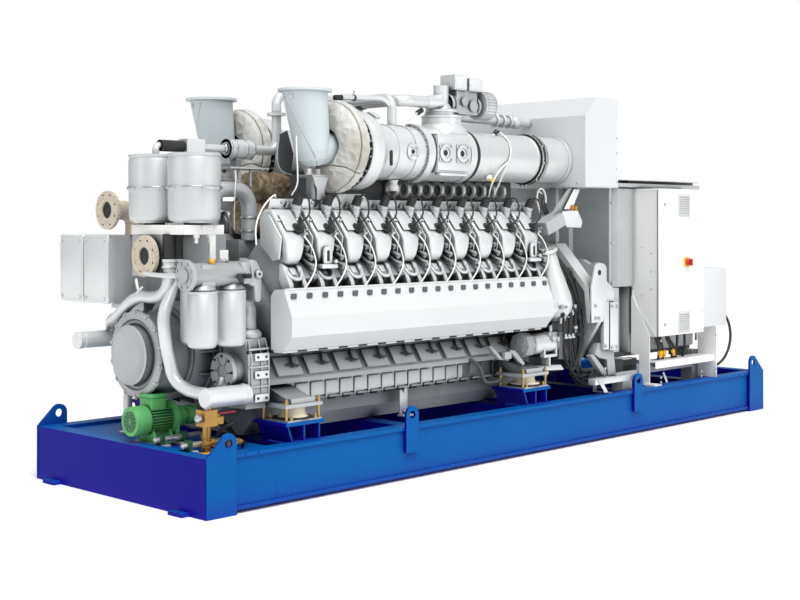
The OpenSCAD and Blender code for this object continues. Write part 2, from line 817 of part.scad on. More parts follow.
// Lines from the thermostats: X from the first cylinders, Y across, Z from the crankshaft
coolant_line_r = 30;
coolant_line_top = 545;
near_line = [[-605, -285, coolant_line_top], [-605, -285, 500], [-609, -285, 455], [-624, -285, 400],
    [-652, -285, 350], [-682, -288, 300], [-701, -292, 245], [-706, -296, 185], [-700, -299, 120],
    [-689, -302, 55], [-677, -306, -10], [-667, -316, -70], [-658, -338, -118], [-648, -370, -148],
    [-637, -406, -165], [-627, -445, -175], [-620, -485, -181], [-616, -520, -182],
    [-615, -545, -182]];
far_line = [[-662, -285, coolant_line_top], [-662, -285, 490], [-662, -282, 445], [-662, -270, 400],
    [-662, -240, 365], [-662, -195, 343], [-662, -140, 335], [-662, -80, 335], [-662, -20, 332],
    [-660, 30, 322], [-656, 80, 302], [-649, 130, 277], [-640, 185, 250], [-630, 240, 222],
    [-615, 300, 196], [-600, 355, 178], [-580, 402, 166], [-562, 434, 150], [-553, 447, 132],
    [-550, 450, 115]];

function from_block(line) = [for (p = line) p + [first_x, 0, crank_height]];

// Coolant lines across the free end, a blank-ended branch and a capped branch
module coolant_pipes() {
    z = crank_height - 200;
    color("#B9BCBF") {
        xrod(first_x - 661, first_x - 365, can_y, z, 56);
        yrod(can_y, -545, first_x - 615, crank_height - 182, coolant_line_r + 2);
        tube(from_block(near_line), coolant_line_r, [1, 0, 0]);
        zrod(crank_height + 60, crank_height + 115, first_x - 550, 450, coolant_line_r + 2);
        tube(from_block(far_line), coolant_line_r, [1, 0, 0]);
        xrod(block_x0 - 400, block_x0, 450, crank_height + 60, 50);
        pipe([[block_x0 - 350, 314, deck_z], [block_x0 - 350, 314, z],
            [block_x0 - 150, 314, z]], 27, 70);
    }
}

module cooler_boxes() {
    color("#B2B5B8") {
        for (y = [300, 562])
            along_y(y, y + 256) translate([first_x - 475, crank_height + 477.5])
                rounded_square(400, 405, 50);
        block(block_x0 - 150, block_x0 - 30, 440, 790, crank_height + 215, crank_height + 275);
        block(block_x0 - 30, block_x0, 440, 619, crank_height + 215, crank_height + 260);
    }
}

module pipe_flange(x, y, z, r) {
    difference() {
        xrod(x, x + 22, y, z, r);
        xrod(x - 1, x + 23, y, z, 50);
        for (i = [0:7])
            xrod(x - 1, x + 23, y + 90 * cos(45 * i + 22.5), z + 90 * sin(45 * i + 22.5), 9);
    }
}

module flanged_pipes() {
    top_z = crank_height + 828;
    side_z = crank_height + 566;
    color("#CFC6B8") {
        pipe_flange(first_x - 675, 316, top_z, 114);
        difference() {
            pipe([[first_x - 653, 316, top_z], [first_x - 475, 316, top_z],
                [first_x - 475, 316, crank_height + 680]], 57, 90);
            xrod(first_x - 654, first_x - 595, 316, top_z, 50);
        }
        pipe_flange(first_x - 725, -130, side_z, 117);
        difference() {
            xrod(first_x - 703, first_x - 675, -130, side_z, 57);
            xrod(first_x - 704, first_x - 674, -130, side_z, 50);
        }
    }
}

// Preheating pump beside the floor of the skid: fan cover, body, flange, pump and terminal box
module pump_motor() {
    y = -120;
    z = rail_height + 120;
    x = front_x + 12;
    color("#4E9A54") {
        xrod(x, x + 250, y, z, 84);
        xrod(x + 250, x + 285, y, z, 100);
        xrod(x + 285, x + 450, y, z, 55);
        block(x + 30, x + 125, y - 60, y + 60, z + 60, z + 150);
        block(x + 110, x + 300, y - 70, y + 70, deck_z, z - 60);
    }
}

valve_x = first_x - 605;
valve_y = -550;
valve_z = rail_height + 121;
lever_z = valve_z + 57;

module valve_block() {
    color("#B08D4F") {
        difference() {
            zrod(valve_z + 90, crank_height - 200, valve_x, valve_y - 20, 14);
            xrod(valve_x - 50, valve_x + 50, can_y, crank_height - 200, 56.3);
        }
        block(valve_x - 42, valve_x + 42, valve_y - 42, valve_y + 42, valve_z, valve_z + 90);
        zrod(deck_z, valve_z, valve_x, valve_y, 24);
    }
    color("#1D1E20") {
        block(valve_x + 42, valve_x + 100, valve_y - 22, valve_y + 22, valve_z + 5, valve_z + 45);
        zrod(valve_z + 45, lever_z - seat_gap, valve_x + 75, valve_y, 12);
    }
}

module valve_lever() {
    color("#C8202C") {
        zrod(lever_z, lever_z + 8, valve_x + 75, valve_y, 16);
        block(valve_x + 75, valve_x + 195, valve_y - 11, valve_y + 11, lever_z, lever_z + 8);
    }
}

// ---- Flywheel end and generator ----

base_z = crank_height - 270;
rear_r = 420;
hoop_x0 = last_x + 475;
hoop_x1 = last_x + 555;
hoop_top = crank_height + 600;
plate_t = 40;
plate_x1 = hoop_x1 + plate_t;

module flywheel_housing() {
    color("#55585B") {
        block(block_x1, block_x1 + 40, -720, 720, crank_height - 200, crank_height - 10);
        xrod(block_x1, hoop_x0, 0, crank_height, 430);
        xrod(hoop_x0, hoop_x1, 0, crank_height, 380);
        xrod(plate_x1, gen_x - 150, 0, crank_height, rear_r);
    }
}

// Its end cap points to the free end
module starter_motor() {
    y = -645;
    z = crank_height - 85;
    color("#B2B5B8") {
        xrod(block_x1 - 270, block_x1, y, z, 72);
        translate([block_x1 - 340, y, z]) rotate([0, 90, 0]) cylinder(r = 84, h = 70, $fn = 8);
    }
}

module actuator_block() {
    x0 = block_x1 + 70;
    x1 = hoop_x0 + 40;
    y0 = -600;
    z0 = crank_height - 80;
    color("#B4B7BA") {
        block(x0, x1, y0, y0 + 80, z0, z0 + 210);
        difference() {
            block(x0 + 30, hoop_x0 - 60, y0 + 80, -380, z0 + 40, z0 + 80);
            xrod(x0, x1, 0, crank_height, 430.3);
        }
        for (p = [[x0 + 60, z0 + 40], [x0 + 60, z0 + 150], [x0 + 240, z0 + 60]])
            yrod(y0 - 45, y0, p.x, p.y, 26);
        // Elbow fitting of the front hose
        pipe([[x0 + 110, y0, z0 + 180], [x0 + 110, y0 - 90, z0 + 180],
            [x0 + 110, y0 - 90, z0 + 150]], 11, 16);
    }
}

hoop = [[-780, 40], [-755, 280], [-460, 600]];
hoop_inside = [[-740, 40], [-717, 265], [-442, 560]];

module adaptor_frame() {
    outer = concat(hoop, other_side(hoop));
    inner = concat(hoop_inside, other_side(hoop_inside));
    color("#8F9396") {
        translate([0, 0, crank_height]) {
            along_x(hoop_x0, hoop_x1) difference() {
                polygon(outer);
                polygon(concat([[-740, 0]], inner, [[740, 0]]));
            }
            along_x(hoop_x1, plate_x1)
                polygon(concat([[-600, -250]], hoop, other_side(hoop), [[600, -250]]));
            both_sides() {
                along_x(last_x + 745, last_x + 785) difference() {
                    union() {
                        polygon([[-415, 300], [-660, 300], [-660, 400], [-500, 480], [-415, 480]]);
                        translate([-610, 400]) circle(60);
                        polygon([[-670, 400], [-670, 60], [-415, 60], [-415, 400]]);
                    }
                    translate([-610, 400]) circle(24);
                    circle(rear_r + seat_gap);
                }
            }
        }
        // Gland of the rear hose
        xrod(hoop_x1 - 20, hoop_x1, -600, crank_height + 350, 14);
    }
}

module generator_body() {
    top = base_z + 30 + generator_height;
    color("#A4A7AA") {
        block(gen_x + 200, gen_end_x, -550, 550, base_z + 30, top);
        block(gen_x - 150, gen_x + 200, -480, 480, base_z + 30, crank_height + 270);
        translate([0, 0, crank_height + 270]) linear_extrude(740)
            polygon([[gen_x + 200, -600], [gen_x - 10, -600], [gen_x - 50, -560],
                [gen_x - 50, 560], [gen_x - 10, 600], [gen_x + 200, 600]]);
    }
}

support_y = 640;
support_x0 = gen_x - 380;

// Rails beside the generator, the stands on them and the posts that hold its front corners
module generator_feet() {
    rail_top = base_z - 50;
    post_x = gen_x - 200;
    color("#9A9DA0") both_sides() {
        block(support_x0, gen_end_x, -support_y, -support_y + 100, base_z - 130, rail_top);
        for (x = [gen_x + 60, gen_end_x - 100])
            block(x - 60, x + 60, -support_y, -support_y + 100, beam_top, base_z - 130);
        for (x = [gen_x + 60, gen_end_x - 100])
            block(x - 60, x + 60, -support_y, -421, rail_top, base_z);
        // Strap from the rail's end to the skid
        block(support_x0, support_x0 + 40, -support_y - 6, -support_y, rail_height, rail_top);
        block(support_x0, support_x0 + 40, -780, -support_y, rail_height, rail_height + 6);
        along_y(-support_y, -support_y + 80) polygon([[post_x - 40, rail_top], [post_x + 90, rail_top],
            [post_x + 90, base_z + 10], [post_x + 60, base_z + 70], [post_x - 40, base_z + 70]]);
        block(post_x - 20, post_x + 60, -700, -600, base_z + 70, crank_height + 270);
        difference() {
            block(post_x - 20, post_x + 20, -600, -400, base_z + 70, crank_height + 270);
            xrod(post_x - 60, post_x + 60, 0, crank_height, rear_r + seat_gap);
        }
    }
}

module generator_base() {
    color("#1D1E20") block(gen_x - 150, gen_end_x, -520, 520, base_z, base_z + 30);
}

// Connection box on an arm under the hood
module junction_box() {
    x = last_x + 225;
    z = crank_height + 745;
    color("#C4C7CA") {
        translate([x, -600, z]) rotate([0, -20, 0]) cube([220, 120, 90], center = true);
        along_y(-615, -585) polygon([[x - 10, z + 30], [x + 60, z + 30],
            [hood_x + 70, hood_z], [hood_x + 5, hood_z]]);
    }
}

// ---- Control cabinet ----

hinge_x = cab_x + cabinet_width + 4;
hinge_y = door_y + 8;
hinge_z = [cab_z + 150, cab_z + cabinet_height - 240];
barrel_r = 7;
barrel_h = 40;

module cabinet_body() {
    wall = 3;
    color("#F4F4F0") {
        difference() {
            block(cab_x, cab_x + cabinet_width, cab_front_y, cab_back_y, cab_z, cab_z + cabinet_height);
            block(cab_x + wall, cab_x + cabinet_width - wall, cab_front_y - 1, cab_back_y - wall,
                cab_z + wall, cab_z + cabinet_height - wall);
        }
        for (z = hinge_z) {
            zrod(z, z + barrel_h, hinge_x, hinge_y, barrel_r);
            block(cab_x + cabinet_width, hinge_x, hinge_y, cab_front_y + 6, z, z + barrel_h);
        }
    }
}

module cabinet_door() {
    color("#F4F4F0") {
        difference() {
            block(cab_x, cab_x + cabinet_width, door_y, door_y + door_t, cab_z, cab_z + cabinet_height);
            for (z = hinge_z)
                block(hinge_x - 22, hinge_x, door_y - 1, door_y + door_t + 1, z - 5, z + barrel_h + 1);
        }
        for (z = hinge_z)
            zrod(z + barrel_h + seat_gap, z + 2 * barrel_h, hinge_x, hinge_y, barrel_r);
    }
}

switch_x = cab_x + 0.605 * cabinet_width;
switch_z = cab_z + cabinet_height / 2;

module switch_plate() {
    color("#F5B800")
        block(switch_x - 37, switch_x + 37, door_y - 6, door_y, switch_z - 37, switch_z + 37);
}

module switch_knob() {
    color("#C8202C") {
        yrod(door_y - 36, door_y - 11, switch_x, switch_z, 26);
        yrod(door_y - 11, door_y - 6 - seat_gap, switch_x, switch_z, 9);
        block(switch_x - 7, switch_x + 7, door_y - 52, door_y - 36, switch_z - 26, switch_z + 26);
    }
}

box_x = cab_x + cabinet_width + 20;
leg_x = cab_x + cabinet_width + 206;
leg_gland_z = 400;

// Bars behind the cabinet, its two legs, the side bracket and the tray between the legs
module cabinet_mounts() {
    tray_z = rail_height + 175;
    color("#F0F0EC") {
        for (z = [cab_z + 110, cab_z + cabinet_height - 190])
            block(cab_x + 80, cab_x + cabinet_width - 80, cab_back_y, -550, z, z + 40);
        along_x(cab_x - 8, cab_x)
            polygon([[-support_y, rail_height], [-735, rail_height], [-735, cab_z],
                [cab_back_y - 10, cab_z + 300], [cab_back_y, cab_z + 300],
                [cab_back_y, base_z + 20], [-support_y, base_z + 20]]);
        block(cab_x - 30, cab_x + 60, -800, -700, rail_height, rail_height + 12);
        block(leg_x, leg_x + 8, -810, -support_y, rail_height, cab_z + 35);
        block(cab_x, leg_x, -780, -support_y, tray_z, tray_z + 6);
        block(cab_x, leg_x, -786, -780, tray_z - 45, tray_z + 6);
        xrod(leg_x + 8, leg_x + 32, -740, leg_gland_z, 15);
    }
}

module side_box() {
    color("#E6E7E6") {
        block(box_x, box_x + 325, -800, -600, cab_z + 35, cab_z + 495);
        xrod(box_x + 325, box_x + 350, -700, cab_z + 155, 15);
    }
}

// ---- Cords ----

// Points measured from the last cylinder
function from_last(points) = [for (p = points) p + [last_x, 0, 0]];

// Cable from the side box down to the leg beside it
cabinet_cable_route = from_last([[2275, -700, 850], [2305, -700, 850], [2345, -700, 843],
    [2395, -701, 820], [2445, -702, 780], [2485, -704, 725], [2505, -706, 660], [2502, -709, 595],
    [2475, -713, 535], [2430, -718, 485], [2375, -724, 447], [2315, -730, 422], [2255, -736, 407],
    [2195, -740, 400], [2143, -740, 400]]);

module cabinet_cable() {
    color("#1D1E20") tube(cabinet_cable_route, 11, [0, 1, 0]);
}

// Hose from the elbow on the actuator block to the support rail
hose_front_route = from_last([[355, -690, 870], [355, -690, 840], [355, -690, 795],
    [356, -690, 745], [360, -688, 695], [370, -685, 645], [387, -680, 598], [412, -672, 553],
    [445, -662, 515], [485, -650, 482], [527, -636, 458], [570, -620, 441], [610, -606, 433],
    [650, -600, 430], [685, -600, 430]]);

module hose_front() {
    color("#1D1E20") tube(hose_front_route, 7, [0, 1, 0]);
}

// Hose from the adaptor plate to the support rail
hose_rear_route = from_last([[535, -600, 1150], [515, -600, 1150], [475, -603, 1146],
    [435, -608, 1125], [413, -614, 1090], [407, -620, 1040], [409, -628, 980], [415, -634, 910],
    [423, -640, 840], [431, -645, 770], [439, -648, 700], [453, -649, 635], [475, -646, 575],
    [509, -640, 525], [550, -631, 490], [600, -620, 467], [650, -615, 460], [685, -615, 460]]);

module hose_rear() {
    color("#1D1E20") tube(hose_rear_route, 9, [0, 1, 0]);
}

side_rails();
end_beams();
cross_beams();
lifting_lugs();
pedestals();
isolator_rubbers();
isolator_plates();
engine_feet();
oil_pan();
crankcase();
crankcase_covers();
front_gearcase();
cylinder_heads();
rocker_covers();
coil_rails();
ignition_coils();
ignition_leads();
cable_ducts();
charge_manifold();
exhaust_manifolds();
exhaust_outlet_near();
exhaust_outlet_far();
turbine_jackets();
turbochargers();
air_pipes();
gas_mixers();
pipe_joints();
gas_train();
air_hood();
pipe_brackets();
breather_drums();
breather_pipes();
coolant_housing();
coolant_arch();
vee_padding();
oil_filters();
coolant_pump();
coolant_pipes();
cooler_boxes();
flanged_pipes();
pump_motor();
valve_block();
valve_lever();
flywheel_housing();
starter_motor();
actuator_block();
adaptor_frame();
generator_body();
generator_feet();
generator_base();
junction_box();
cabinet_body();
cabinet_door();
switch_plate();
switch_knob();
cabinet_mounts();
side_box();
cabinet_cable();
hose_front();
hose_rear();
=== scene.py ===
import math
import bpy
from mathutils import Matrix, Vector, noise


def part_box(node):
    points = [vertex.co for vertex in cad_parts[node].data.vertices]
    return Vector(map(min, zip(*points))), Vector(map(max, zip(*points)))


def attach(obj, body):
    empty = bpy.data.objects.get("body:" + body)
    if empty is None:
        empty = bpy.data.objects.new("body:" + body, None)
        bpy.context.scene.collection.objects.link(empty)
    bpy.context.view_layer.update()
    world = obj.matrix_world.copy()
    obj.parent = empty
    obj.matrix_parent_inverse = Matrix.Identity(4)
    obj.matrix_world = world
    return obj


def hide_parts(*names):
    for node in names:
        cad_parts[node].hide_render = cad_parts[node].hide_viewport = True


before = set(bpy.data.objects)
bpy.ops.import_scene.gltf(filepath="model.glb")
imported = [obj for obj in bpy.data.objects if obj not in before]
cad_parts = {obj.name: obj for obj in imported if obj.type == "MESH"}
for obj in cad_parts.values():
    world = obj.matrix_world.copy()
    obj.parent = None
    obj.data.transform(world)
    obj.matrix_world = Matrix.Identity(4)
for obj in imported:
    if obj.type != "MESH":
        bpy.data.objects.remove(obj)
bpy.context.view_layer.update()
print("frame loaded:", len(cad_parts), "nodes")

cameraSettings = {"place": (-7.187, -6.389, 1.562), "yaw": 45.918, "lens": 59.97, "shiftY": -0.0983}

bpy.ops.object.camera_add(location=cameraSettings["place"], rotation=(math.radians(90), 0,
        -math.radians(cameraSettings["yaw"])))
camera = bpy.context.object
camera.name = "camera"
camera.data.sensor_width = 36
camera.data.lens = cameraSettings["lens"]
camera.data.shift_y = cameraSettings["shiftY"]
bpy.context.scene.camera = camera


def linearColour(hexColour):
    parts = [int(hexColour[i:i + 2], 16) / 255 for i in (1, 3, 5)]
    return [p / 12.92 if p <= 0.04045 else ((p + 0.055) / 1.055) ** 2.4 for p in parts] + [1]


def addNode(tree, kind, inputs=None, **settings):
    node = tree.nodes.new(kind)
    for name, value in settings.items():
        setattr(node, name, value)
    for name, value in (inputs or {}).items():
        if isinstance(value, bpy.types.NodeSocket):
            tree.links.new(value, node.inputs[name])
        else:
            node.inputs[name].default_value = value
    return node


def newMaterial(name):
    material = bpy.data.materials.new(name)
    material.use_nodes = True
    tree = material.node_tree
    tree.nodes.clear()
    return material, tree


def mixColours(tree, factor, first, second, blend="MIX"):
    node = addNode(tree, "ShaderNodeMix", data_type="RGBA", blend_type=blend)
    for slot, value in ((0, factor), (6, first), (7, second)):
        if isinstance(value, bpy.types.NodeSocket):
            tree.links.new(value, node.inputs[slot])
        else:
            node.inputs[slot].default_value = value
    return node.outputs[2]


def closeMaterial(tree, colour, roughness, bump, metallic=0.0, ior=1.5, coat=0.0, sheen=0.0):
    shader = addNode(tree, "ShaderNodeBsdfPrincipled", {
        "Base Color": colour, "Roughness": roughness, "Normal": bump, "Metallic": metallic,
        "IOR": ior, "Coat Weight": coat, "Coat Roughness": 0.2, "Sheen Weight": sheen})
    addNode(tree, "ShaderNodeOutputMaterial", {"Surface": shader.outputs[0]})


def paintMaterial(name, look):
    material, tree = newMaterial(name)
    coords = addNode(tree, "ShaderNodeTexCoord").outputs["Object"]
    cloud = addNode(tree, "ShaderNodeTexNoise", {"Vector": coords, "Scale": look["cloudScale"],
                                                 "Detail": 4.0})
    grain = addNode(tree, "ShaderNodeTexNoise", {"Vector": coords, "Scale": look["grainScale"],
                                                 "Detail": 2.0, "Roughness": 0.6})
    tone = mixColours(tree, cloud.outputs["Fac"], linearColour(look["light"]), linearColour(look["dark"]))
    if look.get("speck"):
        specks = addNode(tree, "ShaderNodeValToRGB", {"Fac": grain.outputs["Fac"]})
        specks.color_ramp.elements[0].position = 0.36
        specks.color_ramp.elements[1].position = 0.46
        tone = mixColours(tree, specks.outputs["Color"], linearColour(look["speck"]), tone)
    # painted shade: faces that point to the free end are mixed toward a darker indigo tone by their normal
    if look.get("paintedEndShade"):  # a second tone for the faces that point to the free end, by their normal
        facing = addNode(tree, "ShaderNodeTexCoord").outputs["Normal"]
        along = addNode(tree, "ShaderNodeSeparateXYZ", {"Vector": facing}).outputs["X"]
        share = addNode(tree, "ShaderNodeMapRange", {"Value": along, "From Min": -0.3, "From Max": -0.9})
        tone = mixColours(tree, share.outputs[0], tone, linearColour(look["paintedEndShade"]))
    # painted shade: ambient occlusion darkens hollows, corners and gaps toward the look's shade colour
    if look.get("paintedShade"):
        hollow = addNode(tree, "ShaderNodeAmbientOcclusion", {"Distance": look["paintedShadeReach"]}, samples=6)
        ramp = addNode(tree, "ShaderNodeValToRGB", {"Fac": hollow.outputs["AO"]})
        ramp.color_ramp.elements[0].position = look.get("paintedShadeFrom", 0.25)
        ramp.color_ramp.elements[1].position = look.get("paintedShadeTo", 0.85)
        tone = mixColours(tree, ramp.outputs["Color"], linearColour(look["paintedShade"]), tone)
    rough = addNode(tree, "ShaderNodeMapRange", {"Value": cloud.outputs["Fac"],
                                                 "To Min": look["rough"] - 0.06,
                                                 "To Max": look["rough"] + 0.06})
    bump = addNode(tree, "ShaderNodeBump", {"Height": grain.outputs["Fac"], "Strength": look["bump"],
                                            "Distance": look["bumpDepth"]})
    closeMaterial(tree, tone, rough.outputs[0], bump.outputs[0], look.get("metal", 0.0),
                  look.get("ior", 1.5), look.get("coat", 0.0))
    return material


# cloudScale is how often the tone drifts in a metre, grainScale how many grains lie in a metre
paintLooks = {
    # two-part gloss paint sprayed on rolled steel: even, a little orange peel; painted indigo shade on the
    # faces toward the free end and violet painted shade in its hollows
    "skidEnamel": {"light": "#005CA0", "dark": "#00509A", "cloudScale": 1.6, "grainScale": 260,
                   "rough": 0.42, "bump": 0.12, "bumpDepth": 0.0008, "ior": 1.18, "paintedEndShade": "#080A86",
                   "paintedShade": "#22109A", "paintedShadeReach": 0.2, "paintedShadeFrom": 0.1, "paintedShadeTo": 0.85},
    # silver engine enamel over sand castings: fine pebbled skin, with painted shade in its hollows
    "castEnamel": {"light": "#B9BCBE", "dark": "#A9ACAF", "cloudScale": 5, "grainScale": 420, "rough": 0.42,
                   "bump": 0.3, "bumpDepth": 0.0012, "metal": 0.25, "paintedShade": "#23272A", "paintedShadeReach": 0.16,
                   "paintedShadeTo": 0.92},
    # pale grey paint of the sheet-metal duct
    "ductEnamel": {"light": "#D6D8D8", "dark": "#CED0D1", "cloudScale": 2, "grainScale": 500, "rough": 0.4,
                   "bump": 0.08, "bumpDepth": 0.0005, "coat": 0.1, "paintedShade": "#6A6F72", "paintedShadeReach": 0.06},
    # the same enamel on smooth pressed and turned covers
    "coverEnamel": {"light": "#E3E5E6", "dark": "#D6D9DA", "cloudScale": 3, "grainScale": 500, "rough": 0.3,
                    "bump": 0.1, "bumpDepth": 0.0006, "metal": 0.35, "coat": 0.15, "paintedShade": "#2C3033",
                    "paintedShadeReach": 0.12},
    # cast aluminium with its speckled, shot-blasted skin
    "blastedAluminium": {"light": "#C9CBCC", "dark": "#B7BABC", "cloudScale": 8, "grainScale": 700,
                         "rough": 0.45, "bump": 0.4, "bumpDepth": 0.001, "metal": 0.55, "speck": "#8E9193",
                         "paintedShade": "#3A3D40", "paintedShadeReach": 0.06},
    # unpainted die casting with coarse grey speckles
    "speckledCasting": {"light": "#B9BBBD", "dark": "#A8ABAD", "cloudScale": 14, "grainScale": 190,
                        "rough": 0.5, "bump": 0.5, "bumpDepth": 0.0012, "metal": 0.3, "speck": "#4C4F52"},
    # bare rolled sheet and drawn tube: soft gloss
    "sheetSteel": {"light": "#E0E2E3", "dark": "#D3D6D7", "cloudScale": 2.5, "grainScale": 300,
                   "rough": 0.33, "bump": 0.06, "bumpDepth": 0.0005, "metal": 0.45, "paintedShade": "#4C5053",
                   "paintedShadeReach": 0.06},
    # pale blue-grey high-temperature paint
    "stovedPaint": {"light": "#CFD7DA", "dark": "#BFC9CD", "cloudScale": 4, "grainScale": 420, "rough": 0.5,
                    "bump": 0.12, "bumpDepth": 0.0006, "paintedShade": "#848D91", "paintedShadeReach": 0.05},
    # the same paint, darker, along the fold of the outlets: painted shade in the crease
    "creaseShadeGrey": {"light": "#8F999D", "dark": "#7F898D", "cloudScale": 12, "grainScale": 420, "rough": 0.55,
                 "bump": 0.15, "bumpDepth": 0.0005},
    # grey enamel of the generator, the coolant arch and the junction box
    "frameEnamel": {"light": "#BFC2C4", "dark": "#A8ACAE", "cloudScale": 3, "grainScale": 380, "rough": 0.45,
                    "bump": 0.15, "bumpDepth": 0.0008, "metal": 0.15, "paintedShade": "#303436", "paintedShadeReach": 0.12},
    # dull dark machine enamel; also the painted shade of the sheet behind the exhaust manifold
    "darkEnamelAndShade": {"light": "#5B5F62", "dark": "#46494C", "cloudScale": 4, "grainScale": 420, "rough": 0.5,
                   "bump": 0.15, "bumpDepth": 0.0008, "paintedShade": "#101112", "paintedShadeReach": 0.1},
    # vulcanised black rubber: matt, faintly dusty
    "blackRubber": {"light": "#2C2D2F", "dark": "#1B1C1D", "cloudScale": 12, "grainScale": 800,
                    "rough": 0.62, "bump": 0.2, "bumpDepth": 0.0005, "ior": 1.52},
    # moulded black polyamide
    "blackNylon": {"light": "#26272A", "dark": "#1A1B1D", "cloudScale": 15, "grainScale": 900, "rough": 0.4,
                   "bump": 0.15, "bumpDepth": 0.0003, "ior": 1.53},
    # cream natural rubber of the isolators
    "creamRubber": {"light": "#EFE6CF", "dark": "#DCD0B4", "cloudScale": 20, "grainScale": 500,
                    "rough": 0.55, "bump": 0.2, "bumpDepth": 0.0006, "ior": 1.52, "paintedShade": "#8A7C5E",
                    "paintedShadeReach": 0.03},
    # beige primer with brown freckles
    "beigePrimer": {"light": "#D8CFC0", "dark": "#BFB3A0", "cloudScale": 22, "grainScale": 160, "rough": 0.6,
                    "bump": 0.25, "bumpDepth": 0.0008, "speck": "#8C7559"},
    # white powder coat of the cabinet: very fine orange peel
    "whitePowderCoat": {"light": "#F0F0ED", "dark": "#E7E8E5", "cloudScale": 1.5, "grainScale": 650,
                        "rough": 0.4, "bump": 0.12, "bumpDepth": 0.0005},
    # light grey powder coat of the air hood and the small boxes
    "greyPowderCoat": {"light": "#DBDDDF", "dark": "#CFD2D4", "cloudScale": 2, "grainScale": 650,
                       "rough": 0.42, "bump": 0.1, "bumpDepth": 0.0004},
    # green hammer paint of an electric motor
    "motorGreen": {"light": "#62B269", "dark": "#4C9A54", "cloudScale": 9, "grainScale": 500, "rough": 0.38,
                   "bump": 0.15, "bumpDepth": 0.0005, "paintedShade": "#1E4A26", "paintedShadeReach": 0.03},
    # dark green paint of clamps, and painted shade on the motor's fan grille
    "darkGreen": {"light": "#1F5A3A", "dark": "#143F29", "cloudScale": 12, "grainScale": 600, "rough": 0.45,
                  "bump": 0.1, "bumpDepth": 0.0004},
    # dull drawn brass
    "drawnBrass": {"light": "#C29B58", "dark": "#A67E3E", "cloudScale": 30, "grainScale": 900, "rough": 0.34,
                   "bump": 0.08, "bumpDepth": 0.0003, "metal": 0.85},
    # dipped red vinyl
    "redVinyl": {"light": "#CC222E", "dark": "#B01823", "cloudScale": 20, "grainScale": 700, "rough": 0.32,
                 "bump": 0.05, "bumpDepth": 0.0003, "ior": 1.54},
    # yellow moulded plastic
    "yellowPlastic": {"light": "#F7BC08", "dark": "#E9AC00", "cloudScale": 20, "grainScale": 700,
                      "rough": 0.35, "bump": 0.05, "bumpDepth": 0.0003, "ior": 1.53},
    # zinc plate with a yellow passivation
    "yellowZinc": {"light": "#C9B07A", "dark": "#A88F58", "cloudScale": 40, "grainScale": 900, "rough": 0.36,
                   "bump": 0.05, "bumpDepth": 0.0003, "metal": 0.8},
    # bright zinc plated bolts and fittings
    "brightZinc": {"light": "#D2D4D5", "dark": "#B4B7B9", "cloudScale": 40, "grainScale": 900, "rough": 0.28,
                   "bump": 0.05, "bumpDepth": 0.0003, "metal": 0.8},
    # blackened bolts, and painted shade in gaps, slots, pockets and bores
    "blackenedSteelAndShade": {"light": "#3A3C3E", "dark": "#2A2B2D", "cloudScale": 25, "grainScale": 800,
                       "rough": 0.45, "bump": 0.1, "bumpDepth": 0.0003, "metal": 0.5},
}


def satinSteelMaterial(name):  # spun and drawn cans: hair lines round the can, soft bands of light
    material, tree = newMaterial(name)
    coords = addNode(tree, "ShaderNodeTexCoord").outputs["Object"]
    stretch = addNode(tree, "ShaderNodeMapping", {"Vector": coords, "Scale": (6, 6, 900)})
    lines = addNode(tree, "ShaderNodeTexNoise", {"Vector": stretch.outputs[0], "Scale": 1.0, "Detail": 2.0})
    cloud = addNode(tree, "ShaderNodeTexNoise", {"Vector": coords, "Scale": 3.0, "Detail": 3.0})
    tone = mixColours(tree, cloud.outputs["Fac"], linearColour("#DCDEDF"), linearColour("#C9CCCE"))
    tone = mixColours(tree, 0.12, tone, lines.outputs["Color"], "MULTIPLY")
    bump = addNode(tree, "ShaderNodeBump", {"Height": lines.outputs["Fac"], "Strength": 0.08,
                                            "Distance": 0.0004})
    closeMaterial(tree, tone, 0.4, bump.outputs[0], metallic=0.45)
    return material


def jacketClothMaterial(name):  # silicone-coated glass cloth, woven about 1 mm, scorched near its seams
    material, tree = newMaterial(name)
    coords = addNode(tree, "ShaderNodeTexCoord").outputs["Object"]
    seam = addNode(tree, "ShaderNodeAttribute", attribute_name="seam").outputs["Fac"]
    # threads are 3 mm here, three times the real ones, so that they show
    warp = addNode(tree, "ShaderNodeTexWave", {"Vector": coords, "Scale": 52.0, "Distortion": 1.2},
                   bands_direction="Z")
    weft = addNode(tree, "ShaderNodeTexWave", {"Vector": coords, "Scale": 52.0, "Distortion": 1.2},
                   bands_direction="DIAGONAL")
    weave = mixColours(tree, 0.5, warp.outputs["Color"], weft.outputs["Color"])
    cloud = addNode(tree, "ShaderNodeTexNoise", {"Vector": coords, "Scale": 7.0, "Detail": 6.0,
                                                 "Roughness": 0.65})
    scorch = addNode(tree, "ShaderNodeTexNoise", {"Vector": coords, "Scale": 3.4, "Detail": 5.0,
                                                  "Distortion": 0.6})
    tone = mixColours(tree, cloud.outputs["Fac"], linearColour("#DADBD8"), linearColour("#BABAB4"))
    stain = addNode(tree, "ShaderNodeValToRGB", {"Fac": scorch.outputs["Fac"]})
    stain.color_ramp.elements[0].position = 0.5
    stain.color_ramp.elements[1].position = 0.7
    stainPart = addNode(tree, "ShaderNodeMath", {0: stain.outputs["Color"], 1: 0.5}, operation="MULTIPLY")
    tone = mixColours(tree, stainPart.outputs[0], tone, linearColour("#8A7A60"))
    tone = mixColours(tree, seam, tone, linearColour("#5C5040"))
    height = mixColours(tree, 0.6, weave, cloud.outputs["Color"])
    bump = addNode(tree, "ShaderNodeBump", {"Height": height, "Strength": 0.35, "Distance": 0.0015})
    closeMaterial(tree, tone, 0.85, bump.outputs[0], sheen=0.2)
    return material


